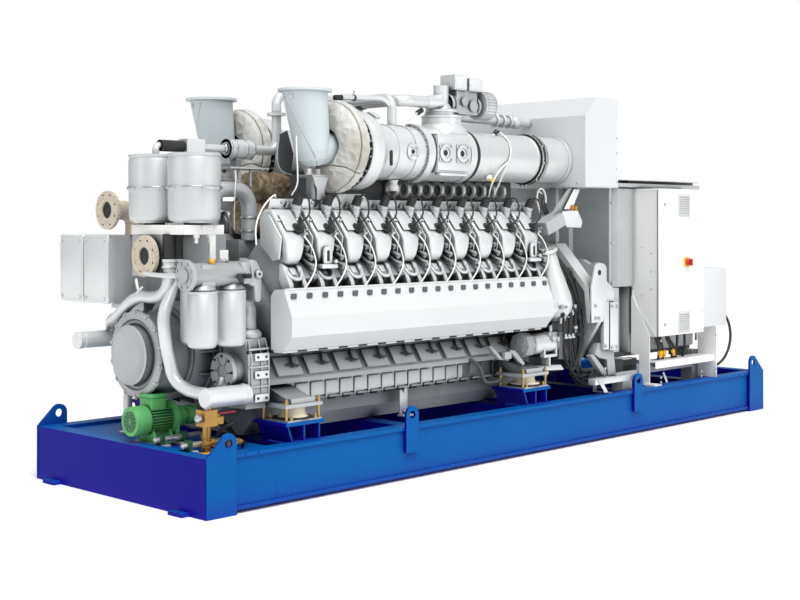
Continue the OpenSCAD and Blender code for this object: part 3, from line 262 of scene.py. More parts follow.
def wornPaddingMaterial(name):  # old mineral-wool padding under foil: brown, crumpled, oily
    material, tree = newMaterial(name)
    coords = addNode(tree, "ShaderNodeTexCoord").outputs["Object"]
    cloud = addNode(tree, "ShaderNodeTexNoise", {"Vector": coords, "Scale": 9.0, "Detail": 8.0,
                                                 "Roughness": 0.7})
    creases = addNode(tree, "ShaderNodeTexVoronoi", {"Vector": coords, "Scale": 26.0},
                      feature="DISTANCE_TO_EDGE")
    tone = addNode(tree, "ShaderNodeValToRGB", {"Fac": cloud.outputs["Fac"]})
    ramp = tone.color_ramp
    ramp.elements[0].color = linearColour("#3B332B")
    ramp.elements[0].position = 0.3
    ramp.elements[1].color = linearColour("#C9C0AE")
    ramp.elements[1].position = 0.72
    middle = ramp.elements.new(0.5)
    middle.color = linearColour("#8A7659")
    bump = addNode(tree, "ShaderNodeBump", {"Height": creases.outputs["Distance"], "Strength": 0.8,
                                            "Distance": 0.006})
    closeMaterial(tree, tone.outputs["Color"], 0.7, bump.outputs[0], metallic=0.1)
    return material


materials = {name: paintMaterial(name, look) for name, look in paintLooks.items()}
materials["satinSteel"] = satinSteelMaterial("satinSteel")
materials["jacketCloth"] = jacketClothMaterial("jacketCloth")
materials["wornPadding"] = wornPaddingMaterial("wornPadding")

# which finish each CAD node takes
nodeFinish = {
    "skidEnamel": ["side_rails", "end_beams", "cross_beams", "lifting_lugs", "pedestals"],
    "creamRubber": ["isolator_rubbers"],
    "castEnamel": ["engine_feet", "oil_pan", "crankcase", "front_gearcase", "cylinder_heads",
                   "charge_manifold", "coolant_pump", "coolant_housing", "isolator_plates", "pipe_brackets",
                   "exhaust_manifolds", "actuator_block"],
    "ductEnamel": ["cable_ducts"],
    "coverEnamel": ["crankcase_covers", "rocker_covers", "cooler_boxes", "coolant_pipes", "starter_motor",
                    "coil_rails", "adaptor_frame", "turbochargers", "gas_mixers"],
    "sheetSteel": ["air_pipes", "gas_train", "breather_pipes"],
    "stovedPaint": ["exhaust_outlet_near", "exhaust_outlet_far"],
    "satinSteel": ["breather_drums", "oil_filters"],
    "frameEnamel": ["generator_body", "generator_feet", "coolant_arch", "junction_box"],
    "darkEnamelAndShade": ["flywheel_housing", "generator_base"],
    "blackNylon": ["ignition_coils"],
    "blackRubber": ["ignition_leads", "pipe_joints"],
    "beigePrimer": ["flanged_pipes"],
    "motorGreen": ["pump_motor"],
    "drawnBrass": ["valve_block"],
    "redVinyl": ["valve_lever", "switch_knob"],
    "yellowPlastic": ["switch_plate"],
    "whitePowderCoat": ["cabinet_body", "cabinet_door", "cabinet_mounts"],
    "greyPowderCoat": ["side_box", "air_hood"],
    "jacketCloth": ["turbine_jackets"],
    "wornPadding": ["vee_padding"],
}
for finish, names in nodeFinish.items():
    for name in names:
        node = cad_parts[name]
        node.data.materials.clear()
        node.data.materials.append(materials[finish])
print("materials made:", len(materials))


def clearSelection():
    if bpy.context.object and bpy.context.object.mode != "OBJECT":
        bpy.ops.object.mode_set(mode="OBJECT")
    bpy.ops.object.select_all(action="DESELECT")


def applyPlace(piece):
    clearSelection()
    piece.select_set(True)
    bpy.context.view_layer.objects.active = piece
    bpy.ops.object.transform_apply(location=True, rotation=True, scale=True)
    return piece


def bevelEdges(piece, width, segments=2, angle=30):
    mod = piece.modifiers.new("bevel", "BEVEL")
    mod.width, mod.segments, mod.limit_method = width, segments, "ANGLE"
    mod.angle_limit = math.radians(angle)
    bpy.context.view_layer.objects.active = piece
    bpy.ops.object.modifier_apply(modifier=mod.name)


def addBlock(low, high, bevel=0.002, segments=2):
    clearSelection()
    middle = [(a + b) / 2 for a, b in zip(low, high)]
    bpy.ops.mesh.primitive_cube_add(size=1, location=middle)
    piece = bpy.context.object
    piece.scale = [b - a for a, b in zip(low, high)]
    applyPlace(piece)
    if bevel:
        bevelEdges(piece, bevel, segments)
    return piece


def addRod(start, end, radius, sides=24, endRadius=None, bevel=0.0):
    clearSelection()
    start, end = Vector(start), Vector(end)
    run = end - start
    bpy.ops.mesh.primitive_cone_add(vertices=sides, radius1=radius,
                                    radius2=radius if endRadius is None else endRadius, depth=run.length,
                                    location=(start + end) / 2, rotation=run.to_track_quat("Z",
            "Y").to_euler())
    piece = applyPlace(bpy.context.object)
    if bevel:
        bevelEdges(piece, bevel, 2, 50)
    return piece


def addRing(start, end, outer, inner, sides=48, bevel=0.0):
    clearSelection()
    piece = addRod(start, end, outer, sides)
    axis = (Vector(end) - Vector(start)).normalized()
    bpy.ops.object.mode_set(mode="EDIT")
    bpy.ops.mesh.select_all(action="DESELECT")
    bpy.ops.object.mode_set(mode="OBJECT")
    for face in piece.data.polygons:
        face.select = abs(face.normal.dot(axis)) > 0.9
    bpy.ops.object.mode_set(mode="EDIT")
    bpy.ops.mesh.select_mode(type="FACE")
    bpy.ops.mesh.inset(thickness=outer - inner)
    bpy.ops.mesh.delete(type="FACE")
    bpy.ops.mesh.select_mode(type="EDGE")
    bpy.ops.mesh.select_non_manifold()
    bpy.ops.mesh.bridge_edge_loops()
    bpy.ops.mesh.select_all(action="SELECT")
    bpy.ops.mesh.normals_make_consistent(inside=False)
    bpy.ops.object.mode_set(mode="OBJECT")
    if bevel:
        bevelEdges(piece, bevel, 2, 50)
    return piece


def addOutline(points, thickness, bevel=0.002):
    clearSelection()
    bpy.ops.mesh.primitive_circle_add(vertices=len(points), radius=1, fill_type="NGON")
    piece = bpy.context.object
    for vertex, point in zip(piece.data.vertices, points):
        vertex.co = Vector(point)
    bpy.ops.object.mode_set(mode="EDIT")
    bpy.ops.mesh.select_all(action="SELECT")
    bpy.ops.mesh.extrude_region_move(TRANSFORM_OT_translate={"value": thickness})
    bpy.ops.mesh.select_all(action="SELECT")
    bpy.ops.mesh.normals_make_consistent(inside=False)
    bpy.ops.object.mode_set(mode="OBJECT")
    if bevel:
        bevelEdges(piece, bevel, 2)
    return piece


def addTube(points, radius, sides=8, cyclic=False):
    clearSelection()
    curve = bpy.data.curves.new("tube", "CURVE")
    curve.dimensions = "3D"
    curve.bevel_depth = radius
    curve.bevel_resolution = max(0, sides // 4 - 1)
    curve.resolution_u = 6
    curve.use_fill_caps = not cyclic
    spline = curve.splines.new("BEZIER")
    spline.bezier_points.add(len(points) - 1)
    for knot, point in zip(spline.bezier_points, points):
        knot.co = point
        knot.handle_left_type = knot.handle_right_type = "AUTO"
    spline.use_cyclic_u = cyclic
    piece = bpy.data.objects.new("tube", curve)
    bpy.context.scene.collection.objects.link(piece)
    piece.select_set(True)
    bpy.context.view_layer.objects.active = piece
    bpy.ops.object.convert(target="MESH")
    return bpy.context.object


def joinPieces(parts):
    clearSelection()
    for part in parts:
        part.select_set(True)
    bpy.context.view_layer.objects.active = parts[0]
    if len(parts) > 1:
        bpy.ops.object.join()
    return parts[0]


def copyTo(template, matrices):
    copies = []
    for matrix in matrices:
        copied = template.copy()
        copied.data = template.data.copy()
        copied.data.transform(matrix)
        if matrix.determinant() < 0:
            copied.data.flip_normals()
        bpy.context.scene.collection.objects.link(copied)
        copies.append(copied)
    bpy.data.objects.remove(template)
    return joinPieces(copies)


def aimed(place, direction, size=1.0):
    turn = Vector(direction).to_track_quat("Z", "Y").to_matrix().to_4x4()
    return Matrix.Translation(place) @ turn @ Matrix.Scale(size, 4)


def bothSides(parts):
    piece = joinPieces(parts)
    mirrored = piece.copy()
    mirrored.data = piece.data.copy()
    mirrored.data.transform(Matrix.Scale(-1, 4, (0, 1, 0)))
    mirrored.data.flip_normals()
    bpy.context.scene.collection.objects.link(mirrored)
    return joinPieces([piece, mirrored])


def finishPiece(parts, name, finish, body="set", smooth=35, replaced=()):
    piece = joinPieces(parts) if isinstance(parts, list) else parts
    piece.name = name
    piece.data.name = name
    piece.data.materials.clear()
    piece.data.materials.append(materials[finish])
    clearSelection()
    piece.select_set(True)
    bpy.context.view_layer.objects.active = piece
    bpy.ops.object.shade_smooth_by_angle(angle=math.radians(smooth))
    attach(piece, body)
    if replaced:
        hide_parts(*replaced)
    return piece


cordRoutes = {
    "cabinet_cable": {"radius": 0.011, "stiffness": "medium", "route": [(2.36, -0.7, 0.85),
            (2.39, -0.7, 0.85), (2.43, -0.7, 0.843), (2.48, -0.701, 0.82), (2.53, -0.702, 0.78),
            (2.57, -0.704, 0.725), (2.59, -0.706, 0.66), (2.587, -0.709, 0.595), (2.56, -0.713, 0.535),
            (2.515, -0.718, 0.485), (2.46, -0.724, 0.447), (2.4, -0.73, 0.422), (2.34, -0.736, 0.407),
            (2.28, -0.74, 0.4), (2.228, -0.74, 0.4)]},
    "hose_front": {"radius": 0.007, "stiffness": "medium", "route": [(0.44, -0.69, 0.87),
            (0.44, -0.69, 0.84), (0.44, -0.69, 0.795), (0.441, -0.69, 0.745), (0.445, -0.688, 0.695),
            (0.455, -0.685, 0.645), (0.472, -0.68, 0.598), (0.497, -0.672, 0.553), (0.53, -0.662, 0.515),
            (0.57, -0.65, 0.482), (0.612, -0.636, 0.458), (0.655, -0.62, 0.441), (0.695, -0.606, 0.433),
            (0.735, -0.6, 0.43), (0.77, -0.6, 0.43)]},
    "hose_rear": {"radius": 0.009, "stiffness": "stiff", "route": [(0.62, -0.6, 1.15), (0.6, -0.6, 1.15),
            (0.56, -0.603, 1.146), (0.52, -0.608, 1.125), (0.498, -0.614, 1.09), (0.492, -0.62, 1.04),
            (0.494, -0.628, 0.98), (0.5, -0.634, 0.91), (0.508, -0.64, 0.84), (0.516, -0.645, 0.77),
            (0.524, -0.648, 0.7), (0.538, -0.649, 0.635), (0.56, -0.646, 0.575), (0.594, -0.64, 0.525),
            (0.635, -0.631, 0.49), (0.685, -0.62, 0.467), (0.735, -0.615, 0.46), (0.77, -0.615, 0.46)]},
}


def makeCord(name, settings):
    curve = bpy.data.curves.new(name, "CURVE")
    curve.dimensions = "3D"
    curve.bevel_depth = settings["radius"]
    curve.bevel_resolution = 3
    curve.resolution_u = 8
    curve.use_fill_caps = True
    spline = curve.splines.new("BEZIER")
    spline.bezier_points.add(len(settings["route"]) - 1)
    for knot, point in zip(spline.bezier_points, settings["route"]):
        knot.co = point
        knot.handle_left_type = knot.handle_right_type = "AUTO"
    cord = bpy.data.objects.new(name + "_sleeve", curve)
    bpy.context.scene.collection.objects.link(cord)
    curve.materials.append(materials["blackRubber"])
    bpy.context.view_layer.update()
    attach(cord, "set")
    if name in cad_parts:
        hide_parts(name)


for cordName, settings in cordRoutes.items():
    makeCord(cordName, settings)
print("cords laid:", len(cordRoutes))

# rocker covers, the arms under them and the ignition parts between them
bank = {"firstCover": -2.135, "pitch": 0.24, "count": 10, "halfWidth": 0.076, "coilAhead": 0.12,
        "plugAhead": 0.03, "leadRadius": 0.0055, "wireRadius": 0.0045}


def alongBank(template):
    return copyTo(template, [Matrix.Translation((bank["firstCover"] + bank["pitch"] * i, 0, 0))
                             for i in range(bank["count"])])


def rockerCover():
    half = bank["halfWidth"]
    outline = [(-0.56, 1.292), (-0.64, 1.315), (-0.662, 1.345), (-0.668, 1.4), (-0.667, 1.455),
               (-0.656, 1.487), (-0.606, 1.552), (-0.55, 1.622), (-0.53, 1.632), (-0.47, 1.632),
               (-0.43, 1.58), (-0.432, 1.42)]
    body = addOutline([(-half, y, z) for y, z in outline], (2 * half, 0, 0), bevel=0)
    for vertex in body.data.vertices:
        if vertex.co.y < -0.55 and vertex.co.z < 1.47:
            low = min(1.0, (1.47 - vertex.co.z) / 0.15)
            vertex.co.x *= 1 - 0.42 * low ** 1.6
    bevelEdges(body, 0.017, 4, 25)
    plate = addOutline([(-half + 0.022, -0.65, 1.508), (half - 0.022, -0.65, 1.508),
                        (half - 0.022, -0.572, 1.602), (-half + 0.022, -0.572, 1.602)], (0, -0.006, 0.005),
                       0.004)
    sides = []
    for side in (-1, 1):
        sides.append(addOutline([(side * (half - 0.004), y, z) for y, z in [(-0.64, 1.47), (-0.53, 1.604),
                (-0.48, 1.6), (-0.455, 1.56), (-0.455, 1.44), (-0.56, 1.335), (-0.618, 1.345)]],
                (side * 0.014, 0, 0), 0.005))
    foot = addOutline([(-half, -0.64, 1.262), (half, -0.64, 1.262), (half, -0.6, 1.31), (-half, -0.6, 1.31)],
                      (0, -0.02, -0.018), 0.006)
    bolts = [addRod((x, -0.596, 1.565), (x, -0.604, 1.572), 0.008, 10, bevel=0.002)
             for x in (-half + 0.01, half - 0.01)]
    return joinPieces([body, plate, foot] + sides + bolts)


finishPiece(bothSides([alongBank(rockerCover())]), "rocker_cover_castings", "coverEnamel",
            replaced=["rocker_covers"])


def armPair():
    parts = []
    for x in (-0.075, 0.03):
        parts.append(addOutline([(x, y, z) for y, z in [(-0.61, 1.325), (-0.65, 1.3), (-0.668, 1.262),
                                                        (-0.7, 1.205), (-0.712, 1.15), (-0.65, 1.15),
                                                        (-0.6, 1.23)]], (0.034, 0, 0), 0.008))
    parts.append(addTube([(-0.058, -0.662, 1.272), (-0.04, -0.682, 1.24), (-0.006, -0.69, 1.23),
                          (0.028, -0.682, 1.24), (0.046, -0.662, 1.272)], 0.011, 12))
    parts.append(addOutline([(-0.03, -0.63, 1.3), (0.018, -0.63, 1.3), (0.012, -0.655, 1.265),
                             (-0.024, -0.655, 1.265)], (0, -0.014, -0.01), 0.004))
    return joinPieces(parts)


finishPiece(bothSides([alongBank(armPair())]), "head_arms", "coverEnamel")


def gapBars():
    parts = []
    for k, (y, z, out) in enumerate([(-0.545, 1.45, 0.09), (-0.565, 1.4, 0.1), (-0.585, 1.35, 0.1),
                                     (-0.605, 1.29, 0.09)]):
        x = 0.112 + 0.006 * (k % 2)
        parts.append(addRod((x, y, z), (x + 0.012, y - out, z - out * 0.55), 0.013, 12, bevel=0.003))
        parts.append(addRod((x + 0.01, y - out * 0.86, z - out * 0.47),
                            (x + 0.0125, y - out, z - out * 0.55), 0.019, 6))
    parts.append(addBlock((0.085, -0.64, 1.18), (0.15, -0.56, 1.255), 0.012))
    parts.append(addRod((0.118, -0.6, 1.18), (0.118, -0.705, 1.15), 0.022, 16, bevel=0.004))
    return joinPieces(parts)


finishPiece(bothSides([alongBank(gapBars())]), "head_gap_unions", "castEnamel")

# painted shade: a dark block fills the window between each pair of arms
darkWindows = joinPieces([addBlock((-0.046, -0.672, 1.16), (0.034, -0.64, 1.235), 0.004)])
finishPiece(bothSides([alongBank(darkWindows)]), "arm_windows", "blackenedSteelAndShade")


def wireRun():
    return addTube([(0.058, -0.672, 1.478), (0.074, -0.7, 1.44), (0.09, -0.728, 1.37), (0.088, -0.742, 1.31),
                    (0.058, -0.744, 1.245), (0.016, -0.738, 1.19), (0.0, -0.728, 1.16)], bank["wireRadius"],
                   8)


finishPiece(bothSides([alongBank(wireRun())]), "sensor_wires", "whitePowderCoat")


def plugClip():
    parts = [addBlock((0.052, -0.69, 1.486), (0.078, -0.668, 1.5), 0.003), addBlock((0.06, -0.676, 1.47),
            (0.074, -0.664, 1.52), 0.003), addRod((0.066, -0.664, 1.51), (0.066, -0.7, 1.518), 0.006, 10,
                                                  bevel=0.001)]
    return joinPieces(parts)


finishPiece(bothSides([alongBank(plugClip())]), "plug_clips", "brightZinc")

plugMiddle = Vector((bank["plugAhead"], -0.6345, 1.515))
plugOut = Vector((0, -0.765, 0.645))


def plugAndCap():
    parts = []
    for start, end, radius, tip in ((-0.012, 0.006, 0.038, 0.038), (0.006, 0.012, 0.026, 0.026),
                                    (0.012, 0.02, 0.033, 0.033), (0.02, 0.03, 0.018, 0.018),
                                    (0.03, 0.048, 0.012, 0.009)):
        parts.append(addRod(plugMiddle + plugOut * start, plugMiddle + plugOut * end, radius, 24, tip, 0.002))
    x = bank["coilAhead"]
    parts.append(addRod((x, -0.536, 1.658), (x + 0.004, -0.563, 1.712), 0.03, 24, 0.027, 0.005))
    parts.append(addBlock((x - 0.02, -0.578, 1.7), (x + 0.022, -0.545, 1.722), 0.006))
    return joinPieces(parts)


finishPiece(bothSides([alongBank(plugAndCap())]), "ignition_caps", "blackNylon",
            replaced=["ignition_coils"])


def coilPot():
    x = bank["coilAhead"]
    parts = [addRod((x, -0.528, 1.59), (x, -0.536, 1.662), 0.031, 28, bevel=0.003),
             addRod((x, -0.534, 1.64), (x, -0.5365, 1.658), 0.035, 28, bevel=0.002),
             addRod((x, -0.526, 1.575), (x, -0.528, 1.592), 0.024, 20, bevel=0.002)]
    parts.append(addOutline([(x - 0.05, -0.5, 1.64), (x - 0.028, -0.5, 1.64), (x - 0.028, -0.5, 1.672)],
                            (0, 0.014, 0), 0.001))
    parts.append(addOutline([(x + 0.05, -0.5, 1.64), (x + 0.028, -0.5, 1.64), (x + 0.028, -0.5, 1.672)],
                            (0, 0.014, 0), 0.001))
    return joinPieces(parts)


finishPiece(bothSides([alongBank(coilPot())]), "coil_pots", "brightZinc")


def plugLead():
    x = bank["coilAhead"]
    tip = plugMiddle + plugOut * 0.046
    return addTube([(x + 0.01, -0.566, 1.716), (x + 0.018, -0.59, 1.722), (x + 0.022, -0.614, 1.7),
                    (x + 0.014, -0.636, 1.655), (x - 0.012, -0.66, 1.602), tip + plugOut * 0.022, tip],
                   bank["leadRadius"], 10)


finishPiece(bothSides([alongBank(plugLead())]), "plug_leads", "blackRubber",
            replaced=["ignition_leads"])


def coilPlate():
    outline = [(-2.185, 1.632), (-2.168, 1.694), (-1.668, 1.694), (-1.632, 1.73), (-1.4, 1.73),
               (-1.384, 1.694), (0.175, 1.694), (0.175, 1.632)]
    parts = [addOutline([(x, -0.486, z) for x, z in outline], (0, 0.006, 0), 0.0015)]
    for i in range(bank["count"]):
        x = bank["firstCover"] + bank["pitch"] * i
        parts.append(addBlock((x - 0.018, -0.5, 1.636), (x + 0.018, -0.48, 1.642), 0.002))
        parts.append(addRod((x + 0.05, -0.486, 1.675), (x + 0.05, -0.494, 1.675), 0.009, 6))
        parts.append(addRod((x + 0.185, -0.486, 1.668), (x + 0.185, -0.494, 1.668), 0.008, 6))
    return joinPieces(parts)


finishPiece(bothSides([coilPlate()]), "coil_plates", "sheetSteel", replaced=["coil_rails"])


# painted shade: thin dark sheets in the plate's cutouts beside each coil
def coilShades():
    x = bank["coilAhead"]
    parts = [addOutline([(x - 0.062, -0.4875, 1.646), (x - 0.034, -0.4875, 1.646),
                         (x - 0.034, -0.4875, 1.684)], (0, 0.0012, 0), 0),
             addOutline([(x + 0.062, -0.4875, 1.646), (x + 0.034, -0.4875, 1.646),
                         (x + 0.034, -0.4875, 1.684)], (0, 0.0012, 0), 0)]
    return joinPieces(parts)


finishPiece(bothSides([alongBank(coilShades())]), "coil_plate_cutouts", "blackenedSteelAndShade")

eyeOutline = [(-0.034, 1.312), (0.034, 1.312), (0.034, 1.38), (0.028, 1.402), (0.014, 1.416),
              (-0.014, 1.416), (-0.028, 1.402), (-0.034, 1.38)]
eyeParts, slotParts = [], []
for i in (1, bank["count"] - 1):
    x = bank["firstCover"] + bank["pitch"] * i - 0.012
    eyeParts.append(addOutline([(x + dx, -0.68, z) for dx, z in eyeOutline], (0, -0.016, 0), 0.004))
    eyeParts.append(addBlock((x - 0.06, -0.712, 1.288), (x + 0.064, -0.64, 1.314), 0.006))
    eyeParts.append(addRod((x + 0.048, -0.676, 1.318), (x + 0.048, -0.716, 1.33), 0.012, 12, bevel=0.003))
    slotParts.append(addOutline([(x + 0.011 * math.cos(a), -0.6966,
                                  1.362 + (0.022 if math.sin(a) > 0 else -0.022) + 0.011 * math.sin(a))
                                 for a in [math.radians(d) for d in range(15, 375, 30)]], (0, 0.001, 0), 0))
finishPiece(bothSides(eyeParts), "lifting_eyes", "coverEnamel")
# painted shade: a thin dark sheet in the slot of each lifting eye
finishPiece(bothSides(slotParts), "lifting_eye_slots", "blackenedSteelAndShade")

# wiring duct: pads on its upper slope, screws, bolted end, lips, and thin dark sheets of painted shade in the
# pockets under it
duct = {"start": -2.28, "end": 0.095, "screwStep": 0.12}
pads = joinPieces([addOutline([(x - 0.026, y0, z0), (x + 0.014, y0, z0), (x + 0.026, y1, z1),
                               (x - 0.014, y1, z1)], (0, -0.0085, 0.0037), 0.0035) for x in (-0.09, 0.03)
                   for y0, z0, y1, z1 in [(-0.7565, 1.1255, -0.7445, 1.1535)]])
finishPiece(bothSides([alongBank(pads)]), "duct_pads", "darkEnamelAndShade")
screws = []
for k in range(int((duct["end"] - duct["start"]) / duct["screwStep"])):
    x = duct["start"] + duct["screwStep"] * (k + 0.5)
    screws.append(addRod((x, -0.7, 0.8585), (x, -0.7, 0.85), 0.006, 8))
finishPiece(bothSides(screws), "duct_screws", "blackenedSteelAndShade")
ductTrim = [addOutline([(duct["end"], y, z) for y, z in [(-0.64, 0.85), (-0.732, 0.85), (-0.788, 0.92),
                                                         (-0.788, 1.02), (-0.728, 1.16), (-0.655, 1.16),
                                                         (-0.64, 1.12)]], (0.01, 0, 0), 0.004),
            addBlock((duct["start"], -0.735, 0.822), (duct["end"] - 0.05, -0.64, 0.8348), 0.003),
            addBlock((duct["start"] + 0.01, -0.738, 1.172), (duct["end"] - 0.01, -0.716, 1.184), 0.004)]
for y, z in ((-0.7, 0.87), (-0.775, 0.93), (-0.775, 1.01), (-0.715, 1.145), (-0.66, 1.13)):
    ductTrim.append(addRod((duct["end"] + 0.01, y, z), (duct["end"] + 0.018, y, z), 0.009, 6))
finishPiece(bothSides(ductTrim), "duct_trim", "ductEnamel")
# painted shade: thin dark sheets in the pockets under the duct
ductPockets = [addBlock((duct["start"] + 0.1 + 0.16 * k, -0.7362, 0.824), (duct["start"] + 0.17 + 0.16 * k,
        -0.735, 0.833), 0) for k in range(14)]
finishPiece(bothSides(ductPockets), "duct_pockets", "blackenedSteelAndShade")
print("bank detail made")

# crankcase: access covers with clamp handles, the pocketed band below them and the sump strap
crank = {"firstCylinder": -2.075, "pitch": 0.24, "coverTilt": -34.2, "coverY": -0.5175, "coverZ": 0.7125,
         "handle": 0.0045, "bandStep": 0.12}
tilt = Matrix.Rotation(math.radians(crank["coverTilt"]), 4, "X")


def onCovers(template):
    return copyTo(template,
                  [Matrix.Translation((crank["firstCylinder"] + crank["pitch"] * i, crank["coverY"],
                                       crank["coverZ"])) @ tilt for i in range(10)])


def clampHandle():
    y = -0.0075
    parts = [addRod((0.028, y, -0.004), (0.028, y - 0.026, -0.004), 0.012, 16, bevel=0.002),
             addTube([(-0.02, y - 0.018, 0.006), (0.0, y - 0.022, 0.0), (0.028, y - 0.024, -0.004),
                      (0.062, y - 0.022, -0.01), (0.08, y - 0.018, -0.004)], crank["handle"], 8),
             addTube([(0.026, y - 0.02, -0.004), (0.03, y - 0.02, 0.03), (0.044, y - 0.014, 0.062),
                      (0.046, y - 0.008, 0.105)], 0.0055, 8)]
    return joinPieces(parts)


finishPiece(bothSides([onCovers(clampHandle())]), "cover_handles", "blackNylon")


def coverFrame():
    y = -0.0072
    parts = []
    for x0, x1, z0, z1 in ((-0.094, 0.094, 0.048, 0.056), (-0.094, 0.094, -0.056, -0.048),
                           (-0.094, -0.086, -0.056, 0.056), (0.086, 0.094, -0.056, 0.056)):
        parts.append(addBlock((x0, y - 0.005, z0), (x1, y, z1), 0.002))
    for x in (-0.074, 0.074):
        for z in (-0.038, 0.038):
            parts.append(addRod((x, y, z), (x, y - 0.006, z), 0.006, 8, bevel=0.001))
    return joinPieces(parts)


finishPiece(bothSides([onCovers(coverFrame())]), "cover_rims", "coverEnamel")

bandParts, pocketParts = [], []
for k in range(19):
    x = -2.035 + crank["bandStep"] * k
    wide = 0.1 if k % 5 else 0.07
    bandParts.append(addBlock((x - 0.052, -0.476, 0.52), (x - 0.044, -0.468, 0.606), 0.002))
    bandParts.append(addBlock((x - 0.044, -0.476, 0.598), (x + wide - 0.052, -0.468, 0.606), 0.002))
    bandParts.append(addBlock((x - 0.03, -0.488, 0.502), (x + 0.05, -0.468, 0.514), 0.003))
    bandParts.append(addRod((x, -0.47, 0.622), (x, -0.484, 0.622), 0.01, 6))
    pocketParts.append(addBlock((x - 0.028, -0.48, 0.488), (x + 0.028, -0.462, 0.501), 0.002))
    pocketParts.append(addBlock((x - 0.034, -0.4745, 0.6085), (x - 0.008, -0.469, 0.6135), 0.001))
finishPiece(bothSides(bandParts), "sump_flange_ribs", "castEnamel")
finishPiece(bothSides(pocketParts), "sump_flange_shadows", "blackenedSteelAndShade")
strap = [addBlock((-1.075, -0.47, 0.33), (-1.005, -0.461, 0.508), 0.002), addBlock((-1.085, -0.52, 0.318),
        (-0.995, -0.455, 0.33), 0.002), addRod((-1.04, -0.47, 0.35), (-1.04, -0.482, 0.35), 0.012, 6),
        addRod((-1.04, -0.47, 0.48), (-1.04, -0.482, 0.48), 0.01, 6)]
finishPiece(strap, "sump_strap", "coverEnamel")

# engine mounts: turned rubber cones, plates and yellow-passivated studs
mounts = {"places": [(-2.133, -0.64), (-0.023, -0.64), (-2.133, 0.64), (-0.023, 0.64)]}
bodies, studs, rings = [], [], []
lowest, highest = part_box("isolator_rubbers")
for x, y in mounts["places"]:
    z0, z1 = lowest[2], highest[2]
    rubber = addRod((x, y, z0 + 0.004), (x, y, z1 - 0.006), 0.098, 48, 0.074)
    bpy.ops.object.mode_set(mode="EDIT")
    bpy.ops.mesh.select_all(action="SELECT")
    bpy.ops.mesh.subdivide(number_cuts=3)
    bpy.ops.object.mode_set(mode="OBJECT")
    for vertex in rubber.data.vertices:
        part = (vertex.co.z - z0) / (z1 - z0)
        pull = 1 - 0.16 * math.sin(math.pi * min(1, max(0, part)))
        vertex.co.x = x + (vertex.co.x - x) * pull
        vertex.co.y = y + (vertex.co.y - y) * pull
    bodies.append(rubber)
    bodies.append(addRing((x, y, z0 + 0.01), (x, y, z0 + 0.02), 0.104, 0.08, 48, 0.003))
    rings.append(addRing((x, y, z0), (x, y, z0 + 0.01), 0.112, 0.08, 48, 0.002))
    for k in range(4):
        a = math.radians(45 + 90 * k)
        bx, by = x + 0.14 * math.cos(a) * 0.92, y + 0.128 * math.sin(a)
        studs.append(addRod((bx, by, z0), (bx, by, z0 + 0.012), 0.012, 6))
        studs.append(addRod((bx, by, z0 + 0.012), (bx, by, z0 + 0.024), 0.007, 12))
    for dx in (-0.122, 0.122):
        for dy in (-0.084, 0.112):
            place = y + (dy if y < 0 else -dy)
            studs.append(addRod((x + dx, place, z0 - 0.01), (x + dx, place, z1 + 0.052), 0.008, 12))
            studs.append(addRod((x + dx, place, z1 + 0.02), (x + dx, place, z1 + 0.034), 0.015, 6))
            studs.append(addRod((x + dx, place, z1 - 0.014), (x + dx, place, z1), 0.015, 6))
    studs.append(addRod((x, y, z1 + 0.02), (x, y, z1 + 0.04), 0.018, 6))
finishPiece(bodies, "mount_cones", "creamRubber", replaced=["isolator_rubbers"])
finishPiece(studs, "mount_studs", "yellowZinc")
finishPiece(rings, "mount_rings", "blackenedSteelAndShade")

# skid: weld beads at its corners, beams and pedestals, and the seams of its rail
skid = {"bead": 0.006}
beads = []
for x in (-2.905, 2.905):
    beads.append(addTube([(x * 0.9985, -0.8205, 0.02 + 0.03 * k) for k in range(10)], skid["bead"], 8))
for x in (-2.58, -1.343, 1.07, 2.58):
    for dx in (-0.046, 0.046):
        beads.append(addTube([(x + dx, -0.82, 0.3), (x + dx, -0.82, 0.32)], 0.004, 6))
for x in (-2.133, -0.023):
    for dx in (-0.15, 0.15):
        beads.append(addTube([(x + dx, -0.745, 0.322), (x + dx, -0.7, 0.322), (x + dx, -0.6, 0.322)], 0.005,
                             6))
for k in range(9):
    x = -2.4 + 0.6 * k
    beads.append(addBlock((x - 0.005, -0.8065, 0.03), (x + 0.005, -0.804, 0.29), 0.001))
finishPiece(bothSides(beads), "skid_welds", "skidEnamel")
print("lower detail made")


def addTurned(profile, start, direction, steps=48):
    clearSelection()
    bpy.ops.mesh.primitive_circle_add(vertices=len(profile), radius=1, fill_type="NOTHING")
    piece = bpy.context.object
    for vertex, (radius, height) in zip(piece.data.vertices, profile):
        vertex.co = (radius, 0, height)
    bpy.ops.object.mode_set(mode="EDIT")
    bpy.ops.mesh.select_all(action="SELECT")
    bpy.ops.mesh.spin(steps=steps, angle=math.tau, center=(0, 0, 0), axis=(0, 0, 1))
    bpy.ops.mesh.select_all(action="SELECT")
    bpy.ops.mesh.remove_doubles(threshold=0.00002)
    bpy.ops.mesh.normals_make_consistent(inside=False)
    bpy.ops.object.mode_set(mode="OBJECT")
    piece.data.transform(aimed(start, direction))
    return piece


def boltRing(centre, direction, radius, count, size, turn=0.0, sides=6):
    parts = []
    spin = aimed(centre, direction)
    for k in range(count):
        angle = math.tau * k / count + math.radians(turn)
        low = spin @ Vector((radius * math.cos(angle), radius * math.sin(angle), 0))
        high = spin @ Vector((radius * math.cos(angle), radius * math.sin(angle), size * 0.8))
        parts.append(addRod(low, high, size, sides))
    return parts


